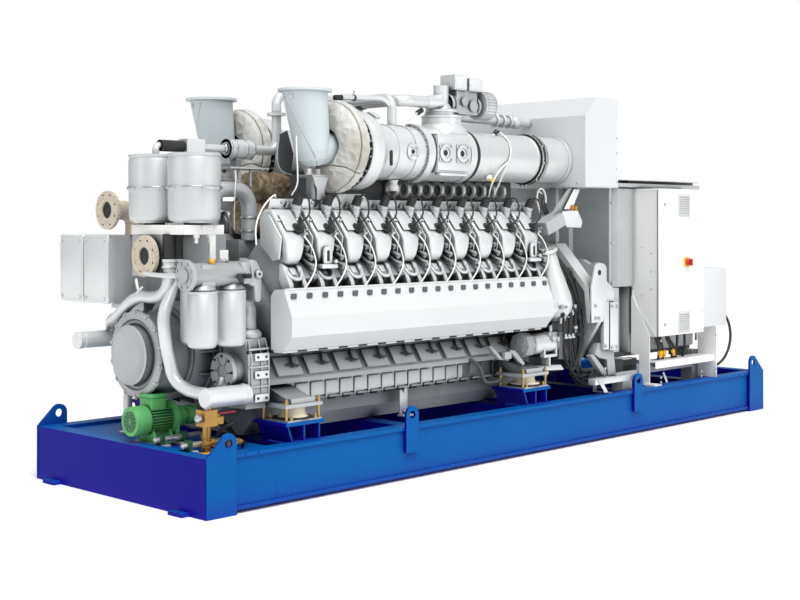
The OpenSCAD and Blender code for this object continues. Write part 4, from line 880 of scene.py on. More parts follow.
# crankshaft cover: scalloped rim, inner lid and screws
cover = {"x": -2.75, "z": 0.8, "radius": 0.235, "screws": 14}
rim = addTurned([(0.18, 0), (0.25, 0), (0.25, 0.012), (0.24, 0.02), (0.205, 0.022), (0.196, 0.014),
                 (0.18, 0.014)], (cover["x"] + 0.002, 0, cover["z"]), (-1, 0, 0), 64)
ears = []
for k in range(cover["screws"]):
    angle = math.tau * (k + 0.5) / cover["screws"]
    y, z = 0.242 * math.cos(angle), cover["z"] + 0.242 * math.sin(angle)
    ears.append(addRod((cover["x"] + 0.004, y, z), (cover["x"] - 0.014, y, z), 0.018, 16, bevel=0.003))
lid = addTurned([(0, 0), (0.17, 0), (0.172, 0.01), (0.16, 0.016), (0.15, 0.0095), (0.06, 0.011),
                 (0, 0.0115)], (-2.8, 0, cover["z"]), (-1, 0, 0), 64)
finishPiece([rim, lid] + ears, "crank_cover_rim", "castEnamel")
finishPiece(boltRing((cover["x"] - 0.014, 0, cover["z"]), (-1, 0, 0), 0.242, cover["screws"], 0.01,
                     180 / cover["screws"]), "crank_cover_screws", "brightZinc")
caseRibs = []
for radius, x0, x1 in ((0.262, -2.56, -2.55), (0.276, -2.545, -2.405), (0.29, -2.425, -2.4)):
    caseRibs.append(addRing((x1, 0, cover["z"]), (x0, 0, cover["z"]), radius, radius - 0.03, 64, 0.003))
for k in range(9):
    angle = math.radians(150 + 26 * k)
    inner, outer = 0.262, 0.318
    caseRibs.append(addOutline([(-2.41, math.cos(angle) * inner, cover["z"] + math.sin(angle) * inner),
                                (-2.41, math.cos(angle) * outer, cover["z"] + math.sin(angle) * outer),
                                (-2.545, math.cos(angle) * (inner + 0.004),
                                 cover["z"] + math.sin(angle) * (inner + 0.004))],
                               (0, -0.01 * math.sin(angle), 0.01 * math.cos(angle)), 0.002))
for y, z0, z1 in ((-0.33, 0.6, 0.98), (-0.27, 0.56, 1.02), (-0.21, 0.55, 0.6), (-0.15, 1.0, 1.06)):
    caseRibs.append(addBlock((-2.412, y - 0.006, z0), (-2.398, y + 0.006, z1), 0.003))
for z in (0.66, 0.8, 0.93):
    caseRibs.append(addBlock((-2.412, -0.385, z - 0.006), (-2.398, -0.265, z + 0.006), 0.003))
finishPiece(caseRibs, "gear_case_ribs", "castEnamel")
caseBolts = []
for y, z in ((-0.375, 0.62), (-0.375, 0.74), (-0.375, 0.87), (-0.34, 1.0), (-0.24, 1.045), (0.375, 0.62),
             (0.375, 0.74), (0.375, 0.87), (0.34, 1.0), (0.24, 1.045), (-0.3, 0.5), (0.3, 0.5)):
    caseBolts.append(addRod((-2.4, y, z), (-2.412, y, z), 0.011, 6))
finishPiece(caseBolts, "gear_case_bolts", "brightZinc")

# coolant lines with their collars, the capped branch and the blank-ended one
coolant = {"radius": 0.0355, "first": -2.075, "crank": 0.8}
nearRoute = [(-605, -285, 545), (-605, -285, 500), (-609, -285, 455), (-624, -285, 400), (-652, -285, 350),
             (-682, -288, 300), (-701, -292, 245), (-706, -296, 185), (-700, -299, 120), (-689, -302, 55),
             (-677, -306, -10), (-667, -316, -70), (-658, -338, -118), (-648, -370, -148),
             (-637, -406, -165), (-627, -445, -175), (-620, -485, -181), (-616, -520, -182),
             (-615, -560, -182)]
farRoute = [(-662, -285, 545), (-662, -285, 490), (-662, -282, 445), (-662, -270, 400), (-662, -240, 365),
            (-662, -195, 343), (-662, -140, 335), (-662, -80, 335), (-662, -20, 332), (-660, 30, 322),
            (-656, 80, 302), (-649, 130, 277), (-640, 185, 250), (-630, 240, 222), (-615, 300, 196),
            (-600, 355, 178), (-580, 402, 166), (-562, 434, 150), (-553, 447, 132), (-550, 450, 60)]


def fromBlock(route):
    return [(coolant["first"] + x / 1000, y / 1000, coolant["crank"] + z / 1000) for x, y, z in route]


lines = [addTube(fromBlock(nearRoute[::2]), coolant["radius"], 28),
         addTube(fromBlock(farRoute[::2] + farRoute[-1:]), coolant["radius"], 28)]
for x in (-2.68, -2.737):
    lines.append(addTurned([(0.03, 0), (0.04, 0), (0.042, 0.01), (0.036, 0.016), (0.036, 0.03),
                            (0.041, 0.036), (0.041, 0.05), (0.03, 0.052)], (x, -0.285, 1.3), (0, 0, 1), 32))
lines.append(addTurned([(0, 0), (0.05, 0), (0.056, 0.006), (0.056, 0.26), (0.0605, 0.264), (0.0605, 0.274),
                        (0.056, 0.28), (0.056, 0.296), (0, 0.296)], (-2.7365, -0.6, 0.6), (1, 0, 0), 40))
lines.append(addTurned([(0, 0), (0.047, 0), (0.052, 0.006), (0.052, 0.03), (0.047, 0.034), (0.047, 0.04),
                        (0.05, 0.044), (0.05, 0.25), (0, 0.25)], (-2.87, 0.45, 0.86), (1, 0, 0), 40))
lines.append(addRod((-2.65, 0.45, 0.86), (-2.25, 0.45, 0.86), 0.05, 36))
lines.append(addTube([(-2.6, 0.314, 0.3), (-2.6, 0.314, 0.42), (-2.6, 0.314, 0.53), (-2.585, 0.314, 0.58),
                      (-2.53, 0.314, 0.6), (-2.4, 0.314, 0.6)], 0.028, 24))
lines.append(addTurned([(0.027, 0), (0.05, 0), (0.05, 0.01), (0.036, 0.014), (0.027, 0.014)],
                       (-2.6, 0.314, 0.3), (0, 0, 1), 32))
lines.append(addTube([(-2.6, -0.56, 0.65), (-2.6, -0.57, 0.68), (-2.6, -0.58, 0.7)], 0.012, 12))
finishPiece(lines, "coolant_lines", "coverEnamel", replaced=["coolant_pipes"])
blackHoses = []
for x in (-2.68, -2.737):
    blackHoses.append(addTurned([(0, 0), (0.03, 0), (0.033, 0.006), (0.031, 0.02), (0.031, 0.12),
                                 (0.034, 0.132), (0.034, 0.145), (0, 0.145)], (x, -0.285, 1.346), (0, 0, 1),
                                32))
finishPiece(blackHoses, "coolant_hoses", "blackRubber")

# oil filters: three cans hung from one head
filters = {"cans": [(-2.748, -0.6), (-2.55, -0.6), (-2.617, -0.362)], "low": 0.873, "high": 1.183}
cans, heads = [], []
for x, y in filters["cans"]:
    cans.append(addTurned([(0, 0), (0.058, 0.001), (0.074, 0.01), (0.0815, 0.028), (0.0825, 0.06),
                           (0.0825, 0.292), (0.08, 0.296), (0.083, 0.301), (0.0825, 0.31), (0, 0.31)],
                          (x, y, filters["low"]), (0, 0, 1), 48))
    heads.append(addTurned([(0, 0), (0.07, 0), (0.074, 0.008), (0.07, 0.022), (0.05, 0.04), (0.046, 0.07),
                            (0, 0.07)], (x, y, filters["high"]), (0, 0, 1), 40))
finishPiece(cans, "filter_cans", "satinSteel")
heads.append(addTurned([(0, 0), (0.078, 0), (0.086, 0.007), (0.086, 0.022), (0.07, 0.026), (0.065, 0.034),
                        (0.065, 0.405), (0.072, 0.408), (0.072, 0.42), (0, 0.42)], (-2.87, -0.6, 1.27),
                       (1, 0, 0), 48))
heads.append(addTurned([(0, 0), (0.04, 0), (0.04, 0.008), (0, 0.008)], (-2.8695, -0.6, 1.27), (-1, 0, 0), 32))
heads.append(addBlock((-2.725, -0.6, 1.235), (-2.575, -0.4, 1.3), 0.012))
heads.append(addBlock((-2.635, -0.4, 1.235), (-2.575, -0.241, 1.3), 0.012))
heads.append(addOutline([(-2.79, y, z) for y, z in [(-0.655, 1.205), (-0.545, 1.205), (-0.545, 1.33),
                                                    (-0.655, 1.33)]], (0.1, 0, 0), 0.014))
heads.append(addOutline([(-2.52, y, z) for y, z in [(-0.675, 1.215), (-0.545, 1.215), (-0.53, 1.34),
                                                    (-0.66, 1.34)]], (0.06, 0, 0), 0.016))
finger = addOutline([(-2.468 + dx, -0.655, z) for dx, z in [(0, 1.33), (0.02, 1.352), (0.055, 1.345),
                                                            (0.085, 1.3), (0.094, 1.23), (0.092, 1.13),
                                                            (0.084, 1.112), (0.056, 1.112), (0.046, 1.13),
                                                            (0.044, 1.2), (0, 1.21)]], (0, 0.095, 0), 0.01)
heads.append(finger)
heads.append(addTurned([(0.008, 0), (0.024, 0), (0.024, 0.014), (0.02, 0.018), (0.008, 0.018)],
                       (-2.405, -0.655, 1.268), (0, -1, 0), 28))
heads += boltRing((-2.868, -0.6, 1.27), (-1, 0, 0), 0.068, 8, 0.008, 22.5)
for x in (-2.72, -2.64, -2.56, -2.49):
    heads.append(addRod((x, -0.6, 1.33), (x, -0.6, 1.343), 0.012, 6))
finishPiece(heads, "filter_head", "blastedAluminium", replaced=["oil_filters"])
finishPiece([addTurned([(0, 0), (0.013, 0), (0.015, 0.006), (0.015, 0.022), (0.01, 0.028), (0, 0.028)],
                       (-2.7, -0.62, 1.333), (0, -0.2, 1), 24)], "vent_knob", "yellowPlastic")
finishPiece([addRod((-2.545, -0.668, 1.262), (-2.575, -0.722, 1.236), 0.017, 20, 0.013, 0.003),
             addRod((-2.52, -0.672, 1.262), (-2.5, -0.715, 1.262), 0.014, 20, bevel=0.003)],
            "pressure_plugs", "blackNylon")
thinPipe = [addTube([(-2.8, -0.14, 1.27), (-2.795, -0.26, 1.262), (-2.8, -0.4, 1.262),
                     (-2.835, -0.52, 1.262)], 0.014, 14),
            addTube([(-2.83, -0.1, 1.235), (-2.842, -0.13, 1.195), (-2.85, -0.16, 1.165)], 0.008, 10),
            addTube([(-2.85, -0.19, 1.196), (-2.85, -0.165, 1.178), (-2.85, -0.135, 1.16)], 0.007, 10)]
finishPiece(thinPipe, "vent_pipe", "coverEnamel")

# breather drums: spun steel with a lid seam and a clamp band
drum = {"radius": 0.15, "low": 1.553, "high": 1.945, "band": 1.752}
for number, (x, y) in enumerate([(-2.62, -0.36), (-2.66, -0.04)]):
    r = drum["radius"]
    shell = addTurned([(0, 0.0), (r - 0.03, 0.0), (r - 0.026, 0.008), (r - 0.016, 0.01), (r - 0.007, 0.02),
                       (r - 0.003, 0.04), (r - 0.002, 0.15), (r - 0.002, 0.19), (r, 0.196),
                       (r - 0.001, 0.21), (r - 0.001, 0.352), (r - 0.006, 0.372), (r + 0.001, 0.378),
                       (r + 0.001, 0.388), (r - 0.014, 0.392), (0, 0.392)], (x, y, drum["low"]), (0, 0, 1),
                      72)
    finishPiece(shell, "drum_shell_%d" % number, "satinSteel",
                replaced=["breather_drums"] if number == 0 else [])
    band = [addTurned([(r - 0.001, -0.01), (r + 0.006, -0.01), (r + 0.008, -0.005), (r + 0.008, 0.005),
                       (r + 0.006, 0.01), (r - 0.001, 0.01)], (x, y, drum["band"]), (0, 0, 1), 72),
            addBlock((x - 0.065, y - r - 0.016, drum["band"] - 0.012),
                     (x + 0.045, y - r + 0.012, drum["band"] + 0.006), 0.003),
            addBlock((x - r - 0.014, y - 0.03, drum["band"] - 0.011),
                     (x - r + 0.004, y + 0.034, drum["band"] + 0.011), 0.003)]
    for dx in (-0.05, 0.03):
        band.append(addRod((x + dx, y - r - 0.016, drum["band"] - 0.003),
                           (x + dx, y - r - 0.022, drum["band"] - 0.003), 0.006, 8))
    finishPiece(band, "drum_band_%d" % number, "brightZinc")
shelfParts = [addBlock((-2.752, -0.442, 1.488), (-2.744, 0.06, 1.542), 0.002),
              addBlock((-2.752, -0.444, 1.488), (-2.475, -0.436, 1.542), 0.002)]
for x in (-2.63, -2.54):
    shelfParts.append(addRod((x, -0.444, 1.528), (x, -0.454, 1.528), 0.01, 6))
for x, y in ((-2.655, -0.425), (-2.56, -0.425), (-2.65, -0.16), (-2.56, -0.16)):
    shelfParts.append(addRod((x, y, 1.47), (x, y, 1.49), 0.018, 6))
    shelfParts.append(addRod((x, y, 1.44), (x, y, 1.47), 0.01, 12))
shelfParts.append(addBlock((-2.57, -0.44, 1.345), (-2.53, -0.432, 1.49), 0.003))
shelfParts.append(addBlock((-2.5, -0.44, 1.335), (-2.44, -0.432, 1.4), 0.003))
for x, z in ((-2.545, 1.36), (-2.488, 1.35), (-2.455, 1.35)):
    shelfParts.append(addRod((x, -0.44, z), (x, -0.449, z), 0.009, 6))
finishPiece(shelfParts, "drum_shelf_parts", "whitePowderCoat")

# coolant flanges: sealing rings, dark bores and dark bolt holes
flange = {"faces": [(-2.75, 0.316, 1.628), (-2.8, -0.13, 1.366)], "studs": 8, "studCircle": 0.09}
flangeRims = []
for x, y, z in flange["faces"]:
    flangeRims.append(addTurned([(0.052, 0), (0.088, 0), (0.088, 0.0012), (0.052, 0.0012)],
                                (x + 0.0003, y, z), (-1, 0, 0), 56))
finishPiece(flangeRims, "flange_sealing_rings", "beigePrimer")
boreShades = [addRod((x + 0.01, y, z), (x + 0.014, y, z), 0.0515, 32) for x, y, z in flange["faces"]]
for x, y, z in flange["faces"]:
    for k in range(flange["studs"]):
        angle = math.tau * k / flange["studs"] + math.radians(22.5)
        studY = y + flange["studCircle"] * math.cos(angle)
        studZ = z + flange["studCircle"] * math.sin(angle)
        boreShades.append(addRod((x + 0.02, studY, studZ), (x + 0.016, studY, studZ), 0.0088, 16))
finishPiece(boreShades, "flange_bore_shades", "blackenedSteelAndShade")

# cooler covers with their corner screws
boxParts = []
for y0, y1 in ((0.3, 0.556), (0.562, 0.818)):
    boxParts.append(addBlock((-2.752, y0 - 0.001, 1.073), (-2.73, y1, 1.482), 0.012, 3))
    boxParts.append(addBlock((-2.757, y0 + 0.018, 1.094), (-2.745, y1 - 0.018, 1.461), 0.006, 3))
    for y in (y0 + 0.03, y1 - 0.03):
        for z in (1.106, 1.449):
            boxParts.append(addRod((-2.755, y, z), (-2.762, y, z), 0.009, 12, bevel=0.001))
for x in (-2.7, -2.58, -2.46, -2.34):
    boxParts.append(addBlock((x - 0.006, 0.2975, 1.08), (x + 0.006, 0.3, 1.475), 0.002))
finishPiece(boxParts, "cooler_covers", "coverEnamel")

# water pump casting: ribs, machined pads and bolts
pumpRibs, pumpPads, pumpBolts = [], [], []
for z in (0.57, 0.7, 0.8):
    pumpPads.append(addBlock((-2.4, -0.628, z - 0.022), (-2.3, -0.61, z + 0.022), 0.004))
    for x in (-2.38, -2.32):
        pumpBolts.append(addRod((x, -0.628, z), (x, -0.633, z), 0.007, 10))
for x in (-2.424, -2.352, -2.3):
    pumpRibs.append(addOutline([(x, -0.612, 0.56), (x, -0.624, 0.62), (x, -0.622, 0.8), (x, -0.59, 0.9),
                                (x, -0.585, 0.56)], (0.01, 0, 0), 0.003))
for z in (0.635, 0.745, 0.845):
    pumpRibs.append(addBlock((-2.436, -0.622, z - 0.006), (-2.292, -0.6, z + 0.006), 0.003))
pumpRibs.append(addTurned([(0, 0), (0.07, 0), (0.078, 0.01), (0.078, 0.03), (0.06, 0.05), (0, 0.05)],
                          (-2.365, -0.52, 0.9), (0, 0, 1), 40))
pumpRibs.append(addTube([(-2.36, -0.52, 0.94), (-2.36, -0.515, 1.0), (-2.34, -0.49, 1.05),
                         (-2.31, -0.44, 1.075)], 0.046, 24))
pumpRibs.append(addTurned([(0.04, 0), (0.102, 0), (0.106, 0.008), (0.106, 0.022), (0.095, 0.03),
                           (0.04, 0.03)], (-2.52, -0.48, 0.72), (1, 0, 0), 48))
for k in range(6):
    angle = math.tau * k / 6
    pumpRibs.append(addOutline([(-2.52, -0.48 + 0.03 * math.cos(angle), 0.72 + 0.03 * math.sin(angle)),
                                (-2.52, -0.48 + 0.095 * math.cos(angle), 0.72 + 0.095 * math.sin(angle)),
                                (-2.5, -0.48 + 0.095 * math.cos(angle), 0.72 + 0.095 * math.sin(angle))],
                               (0, -0.008 * math.sin(angle), 0.008 * math.cos(angle)), 0.001))
pumpBolts += boltRing((-2.52, -0.48, 0.72), (-1, 0, 0), 0.088, 8, 0.008)
finishPiece(pumpRibs, "pump_casting_ribs", "blastedAluminium")
finishPiece(pumpPads, "pump_pads", "coverEnamel")
finishPiece(pumpBolts, "pump_bolts", "blackenedSteelAndShade")

# priming pump: ribbed motor, fan cover, terminal box, flange and pump end on a base plate
motor = {"x": -2.89, "y": -0.12, "z": 0.44, "ribs": 30}
mx, my, mz = motor["x"], motor["y"], motor["z"]
motorParts = [addTurned([(0, 0.004), (0.06, 0.004), (0.066, 0), (0.08, 0.004), (0.084, 0.014),
                         (0.084, 0.098), (0.08, 0.102), (0.066, 0.102), (0.066, 0.245), (0.074, 0.25),
                         (0.084, 0.252), (0.1, 0.256), (0.1, 0.282), (0.07, 0.286), (0.062, 0.3),
                         (0.06, 0.35), (0.04, 0.356), (0.04, 0.38), (0.052, 0.384), (0.055, 0.395),
                         (0.055, 0.44), (0.04, 0.45), (0, 0.45)], (mx, my, mz), (1, 0, 0), 56)]
for k in range(motor["ribs"]):
    angle = math.tau * k / motor["ribs"]
    if 0.3 < math.sin(angle) and abs(math.cos(angle)) < 0.55:
        continue
    c, s = math.cos(angle), math.sin(angle)
    motorParts.append(addOutline([(mx + 0.104, my + c * 0.064, mz + s * 0.064), (mx + 0.104, my + c * 0.081,
            mz + s * 0.081), (mx + 0.246, my + c * 0.081, mz + s * 0.081), (mx + 0.246, my + c * 0.064,
            mz + s * 0.064)], (0, -0.0035 * s, 0.0035 * c), 0.0008))
motorParts.append(addBlock((mx + 0.108, my - 0.058, mz + 0.055), (mx + 0.215, my + 0.058, mz + 0.128), 0.01,
                           3))
motorParts.append(addBlock((mx + 0.104, my - 0.062, mz + 0.122), (mx + 0.219, my + 0.062, mz + 0.148), 0.01,
                           3))
for dx in (0.12, 0.235):
    motorParts.append(addOutline([(mx + dx, my - 0.085, 0.318), (mx + dx, my + 0.085, 0.318),
                                  (mx + dx, my + 0.05, mz - 0.04), (mx + dx, my - 0.05, mz - 0.04)],
                                 (0.016, 0, 0), 0.004))
motorParts.append(addOutline([(mx + 0.262, y, z) for y, z in
                              [(my - 0.098, 0.312), (my + 0.098, 0.312), (my + 0.098, mz + 0.01),
                               (my + 0.05, mz + 0.09),
                               (my - 0.05, mz + 0.09), (my - 0.098, mz + 0.01)]], (0.016, 0, 0), 0.006))
motorParts.append(addBlock((mx + 0.06, my - 0.105, 0.3), (mx + 0.34, my + 0.105, 0.316), 0.004))
motorParts += boltRing((mx + 0.256, my, mz), (-1, 0, 0), 0.091, 4, 0.009, 45)
finishPiece(motorParts, "priming_motor", "motorGreen", replaced=["pump_motor"])
# painted shade: the fan grille is drawn in a darker green than the motor
grille = [addTurned([(0.01 + 0.014 * k, 0), (0.015 + 0.014 * k, 0), (0.015 + 0.014 * k, 0.0015),
                     (0.01 + 0.014 * k, 0.0015)], (mx + 0.0045, my, mz), (-1, 0, 0), 32) for k in range(4)]
for k in range(12):
    angle = math.tau * k / 12
    c, s = math.cos(angle), math.sin(angle)
    grille.append(addOutline([(mx + 0.004, my + c * 0.02 - s * 0.0035, mz + s * 0.02 + c * 0.0035),
                              (mx + 0.004, my + c * 0.02 + s * 0.0035, mz + s * 0.02 - c * 0.0035),
                              (mx + 0.004, my + c * 0.056 + s * 0.0055, mz + s * 0.056 - c * 0.0055),
                              (mx + 0.004, my + c * 0.056 - s * 0.0055, mz + s * 0.056 + c * 0.0055)],
                             (-0.0012, 0, 0), 0))
finishPiece(grille, "motor_grille", "darkGreen")

# skid-top pipework: clamped tubes on blocks, unions, strips, short hoses and valve fittings
tubes, clamps, blocks, unions, strips = [], [], [], [], []
for x, y in ((-2.795, -0.271), (-2.808, -0.541)):
    tubes.append(addRod((x - 0.03, y, 0.345), (x + 0.3, y + 0.02, 0.345), 0.017, 20, bevel=0.003))
    for dx in (0.01, 0.17):
        clamps.append(addBlock((x + dx - 0.014, y - 0.026, 0.318), (x + dx + 0.014, y + 0.026, 0.372), 0.005))
        clamps.append(addRod((x + dx, y - 0.016, 0.37), (x + dx, y - 0.016, 0.38), 0.006, 6))
        blocks.append(addBlock((x + dx - 0.04, y - 0.045, 0.298), (x + dx + 0.04, y + 0.045, 0.32), 0.004))
for x, y in ((-2.72, -0.6), (-2.66, -0.585), (-2.6, -0.68), (-2.555, -0.66)):
    unions.append(addTurned([(0, 0), (0.015, 0), (0.015, 0.02), (0.023, 0.024), (0.023, 0.044),
                             (0.016, 0.048), (0.016, 0.062), (0, 0.062)], (x - 0.03, y, 0.35), (1, 0.15, 0),
                            18))
unions.append(addTurned([(0, 0), (0.018, 0), (0.018, 0.03), (0.026, 0.034), (0.026, 0.056), (0, 0.056)],
                        (-2.65, -0.5, 0.33), (0, 0, 1), 24))
strips.append(addBlock((-2.9, -0.3, 0.3005), (-2.83, -0.06, 0.3045), 0.001))
strips.append(addBlock((-2.76, -0.62, 0.3005), (-2.56, -0.56, 0.3045), 0.001))
finishPiece(tubes, "drain_tubes", "brightZinc")
finishPiece(clamps, "tube_clamps", "darkGreen")
finishPiece(blocks, "clamp_blocks", "sheetSteel")
finishPiece(unions, "brass_unions", "drawnBrass")
finishPiece(strips, "packing_strips", "yellowPlastic")
drains = [addTube([(-2.68, -0.64, 0.345), (-2.6, -0.65, 0.365), (-2.52, -0.64, 0.35), (-2.46, -0.6, 0.33),
                   (-2.44, -0.56, 0.306)], 0.011, 12),
          addTube([(-2.56, -0.48, 0.306), (-2.56, -0.5, 0.38), (-2.54, -0.54, 0.42), (-2.5, -0.56, 0.44)],
                  0.012, 12), addTube([(-2.43, -0.12, 0.44), (-2.38, -0.16, 0.43), (-2.34, -0.22, 0.4),
                                       (-2.33, -0.3, 0.36), (-2.36, -0.38, 0.33)], 0.02, 14)]
finishPiece(drains, "drain_hoses", "blackRubber")
valveTop = [addTurned([(0, 0), (0.02, 0), (0.02, 0.012), (0.013, 0.016), (0.013, 0.034), (0, 0.034)],
                      (-2.68, -0.56, 0.531), (0, 0, 1), 24),
            addTurned([(0, 0), (0.016, 0), (0.024, 0.006), (0.024, 0.026), (0.016, 0.032), (0, 0.034)],
                      (-2.722, -0.55, 0.486), (-1, 0, 0), 18)]
finishPiece(valveTop, "valve_fittings", "brightZinc")
print("free end detail made")

# slimmer coolant arch with its two hose collars
arch = {"x0": -2.375, "x1": -2.085, "y": -0.19, "low": 1.47, "top": 1.752, "foot": 1.45, "bend": 0.11,
        "radius": 0.047}
archPath = [(arch["x0"], arch["y"], arch["low"])]
for k in range(9):
    angle = math.pi - math.pi / 2 * k / 8
    archPath.append((arch["x0"] + arch["bend"] * (1 + math.cos(angle)), arch["y"],
                     arch["top"] - arch["bend"] * (1 - math.sin(angle))))
for k in range(9):
    angle = math.pi / 2 - math.pi / 2 * k / 8
    archPath.append((arch["x1"] - arch["bend"] * (1 - math.cos(angle)), arch["y"],
                     arch["top"] - arch["bend"] * (1 - math.sin(angle))))
archPath.append((arch["x1"], arch["y"], arch["foot"]))
finishPiece([addTube(archPath, arch["radius"], 32)], "coolant_arch_tube", "castEnamel",
            replaced=["coolant_arch"])
finishPiece([addRod((arch["x0"], arch["y"], z), (arch["x0"], arch["y"], z + 0.012), 0.052, 32, bevel=0.002)
             for z in (1.52, 1.6)] + [addRod((arch["x1"], arch["y"], z), (arch["x1"], arch["y"], z + 0.012),
                                             0.052, 32, bevel=0.002) for z in (1.5, 1.58)],
            "coolant_arch_bands", "brightZinc")

def joinPair(parts):
    return bothSides([joinPieces(parts)])


# turbine jackets: quilted cloth drawn over the hot casing, swollen between its stitched seams
jacket = {"x": -1.715, "y": 0.45, "z": 2.015, "radius": 0.284, "cap": 0.012, "voxel": 0.006, "frames": 20,
          "pressure": 2.0, "seamWidth": 0.006, "seamDepth": 0.009, "frontRing": 0.052, "faceRing": 0.235,
          "backRing": 0.148, "spokes": (-1.25, -0.12, 1.1, 2.3, 3.5), "stubRing": 0.085,
          "stitchWidth": 0.0032}
jacketFront = jacket["x"]


def jacketShell(y):
    r = jacket["radius"]
    profile = [(0.106, 0.014), (0.118, 0.004), (0.15, 0.0), (r - 0.08, 0.002), (r - 0.042, 0.014),
               (r - 0.016, 0.036), (r - 0.003, 0.07), (r, 0.096), (r - 0.004, 0.12), (r - 0.016, 0.138),
               (0.215, 0.146), (0.19, 0.142), (0.19, 0.05), (0.106, 0.05), (0.106, 0.014)]
    return addTurned(profile, (jacketFront, y, jacket["z"]), (1, 0, 0), 72)


def swell(piece, settings):
    clearSelection()
    piece.select_set(True)
    bpy.context.view_layer.objects.active = piece
    remesh = piece.modifiers.new("voxels", "REMESH")
    remesh.mode = "VOXEL"
    remesh.voxel_size = settings["voxel"]
    bpy.ops.object.modifier_apply(modifier=remesh.name)
    start = [v.co.copy() for v in piece.data.vertices]
    cloth = piece.modifiers.new("cloth", "CLOTH")
    cloth.settings.use_pressure = True
    cloth.settings.uniform_pressure_force = settings["pressure"]
    cloth.settings.effector_weights.gravity = 0
    cloth.settings.quality = 5
    cloth.point_cache.frame_start, cloth.point_cache.frame_end = 1, settings["frames"]
    for step in range(1, settings["frames"] + 1):
        bpy.context.scene.frame_set(step)
    bpy.ops.object.modifier_apply(modifier=cloth.name)
    bpy.context.scene.frame_set(1)
    for vertex, home in zip(piece.data.vertices, start):
        moved = vertex.co - home
        if moved.length > settings["cap"]:
            vertex.co = home + moved.normalized() * settings["cap"]
    soften = piece.modifiers.new("soften", "SUBSURF")
    soften.levels = 1
    bpy.ops.object.modifier_apply(modifier=soften.name)
    return piece


def seamLines(point, side):  # distance in metres from the nearest stitched seam of a jacket
    y, z = (point.y + side * jacket["y"]) * -side, point.z - jacket["z"]
    radius = math.hypot(y, z)
    angle = math.atan2(z, -y)
    across = point.x - jacketFront
    front, face = jacket["frontRing"], jacket["faceRing"]
    distances = [abs(across - front) if radius > face else 1.0,
                 abs(radius - face) if across < front else 1.0,
                 abs(across - jacket["backRing"]) if radius > 0.2 else 1.0]
    for spoke in jacket["spokes"]:
        turned = (angle - spoke + math.pi) % math.tau - math.pi
        bow = 0.035 * math.sin(min(1.0, max(0.0, across / 0.16)) * math.pi)
        distances.append(abs(turned * radius + bow) if abs(turned) < 0.6 else 1.0)
    inner = math.hypot(y + 0.195 * 0.92, z - 0.03) if across < 0.05 else 1.0
    distances.append(abs(inner - jacket["stubRing"]) if across < 0.05 else 1.0)
    return min(distances)


def sewJacket(piece, side):
    mesh = piece.data
    marks = mesh.attributes.new("seam", "FLOAT", "POINT")
    normals = [v.normal.copy() for v in mesh.vertices]
    values = []
    for vertex, normal in zip(mesh.vertices, normals):
        place = vertex.co
        gap = seamLines(place, side)
        dip = math.exp(-(gap / jacket["seamWidth"]) ** 2)
        soft = noise.noise(place * 9.0 + Vector((side, 0, 0))) * 0.006
        crease = (0.4 - abs(noise.noise(place * 19.0 + Vector((0, 0, side))))) * 0.012
        gather = math.sin(gap * 260) * 0.0016 * math.exp(-gap / 0.03)
        vertex.co = place + normal * (soft + crease + gather - jacket["seamDepth"] * dip - 0.004)
        values.append(min(1.0, math.exp(-(gap / jacket["stitchWidth"]) ** 2)))
    marks.data.foreach_set("value", values)
    mesh.update()
    return piece


for side, label in ((-1, "near"), (1, "far")):
    cloth = sewJacket(swell(jacketShell(side * jacket["y"]), jacket), side)
    finishPiece(cloth, "turbine_jacket_" + label, "jacketCloth", smooth=180,
                replaced=["turbine_jackets"] if side < 0 else [])
print("jackets sewn")

# old padding wrapped round the crossover between the banks
padding = {"x0": -1.985, "y": 0.04, "z": 1.583, "cap": 0.012, "voxel": 0.006, "frames": 16, "pressure": 2.0,
           "coarse": 17.0, "fine": 38.0, "fineShare": 0.4, "height": 0.01}


def crumple(piece, settings):  # creases that run in and out from the roll's own axis
    for vertex in piece.data.vertices:
        wrinkle = 0.5 - abs(noise.noise(vertex.co * settings["coarse"]))
        wrinkle += settings["fineShare"] * noise.noise(vertex.co * settings["fine"])
        outward = Vector((0, vertex.co.y - settings["y"], vertex.co.z - settings["z"]))
        if outward.length > 0.03:
            vertex.co += outward.normalized() * (settings["height"] * wrinkle - 0.006)


roll = addTurned([(0, 0), (0.07, 0), (0.1, 0.01), (0.112, 0.035), (0.106, 0.075), (0.112, 0.11),
                  (0.105, 0.15), (0.112, 0.19), (0.107, 0.225), (0.112, 0.262), (0.1, 0.287), (0.07, 0.297),
                  (0, 0.297)], (padding["x0"], padding["y"], padding["z"]), (1, 0, 0), 48)
crumple(swell(roll, padding), padding)
finishPiece(roll, "vee_wrap", "wornPadding", smooth=180, replaced=["vee_padding"])
upper = dict(padding, x0=-1.93, z=1.775, frames=12, coarse=15.0, fine=34.0, fineShare=0.5, height=0.016)
wrap = addTurned([(0, 0), (0.06, 0), (0.086, 0.01), (0.097, 0.035), (0.09, 0.08), (0.097, 0.125),
                  (0.089, 0.17), (0.098, 0.22), (0.09, 0.265), (0.096, 0.3), (0.08, 0.325), (0, 0.33)],
                 (upper["x0"], padding["y"] - 0.02, upper["z"]), (1, 0.1, 0), 48)
crumple(swell(wrap, upper), upper)
finishPiece(wrap, "vee_wrap_upper", "wornPadding", smooth=180)
print("padding wrapped")

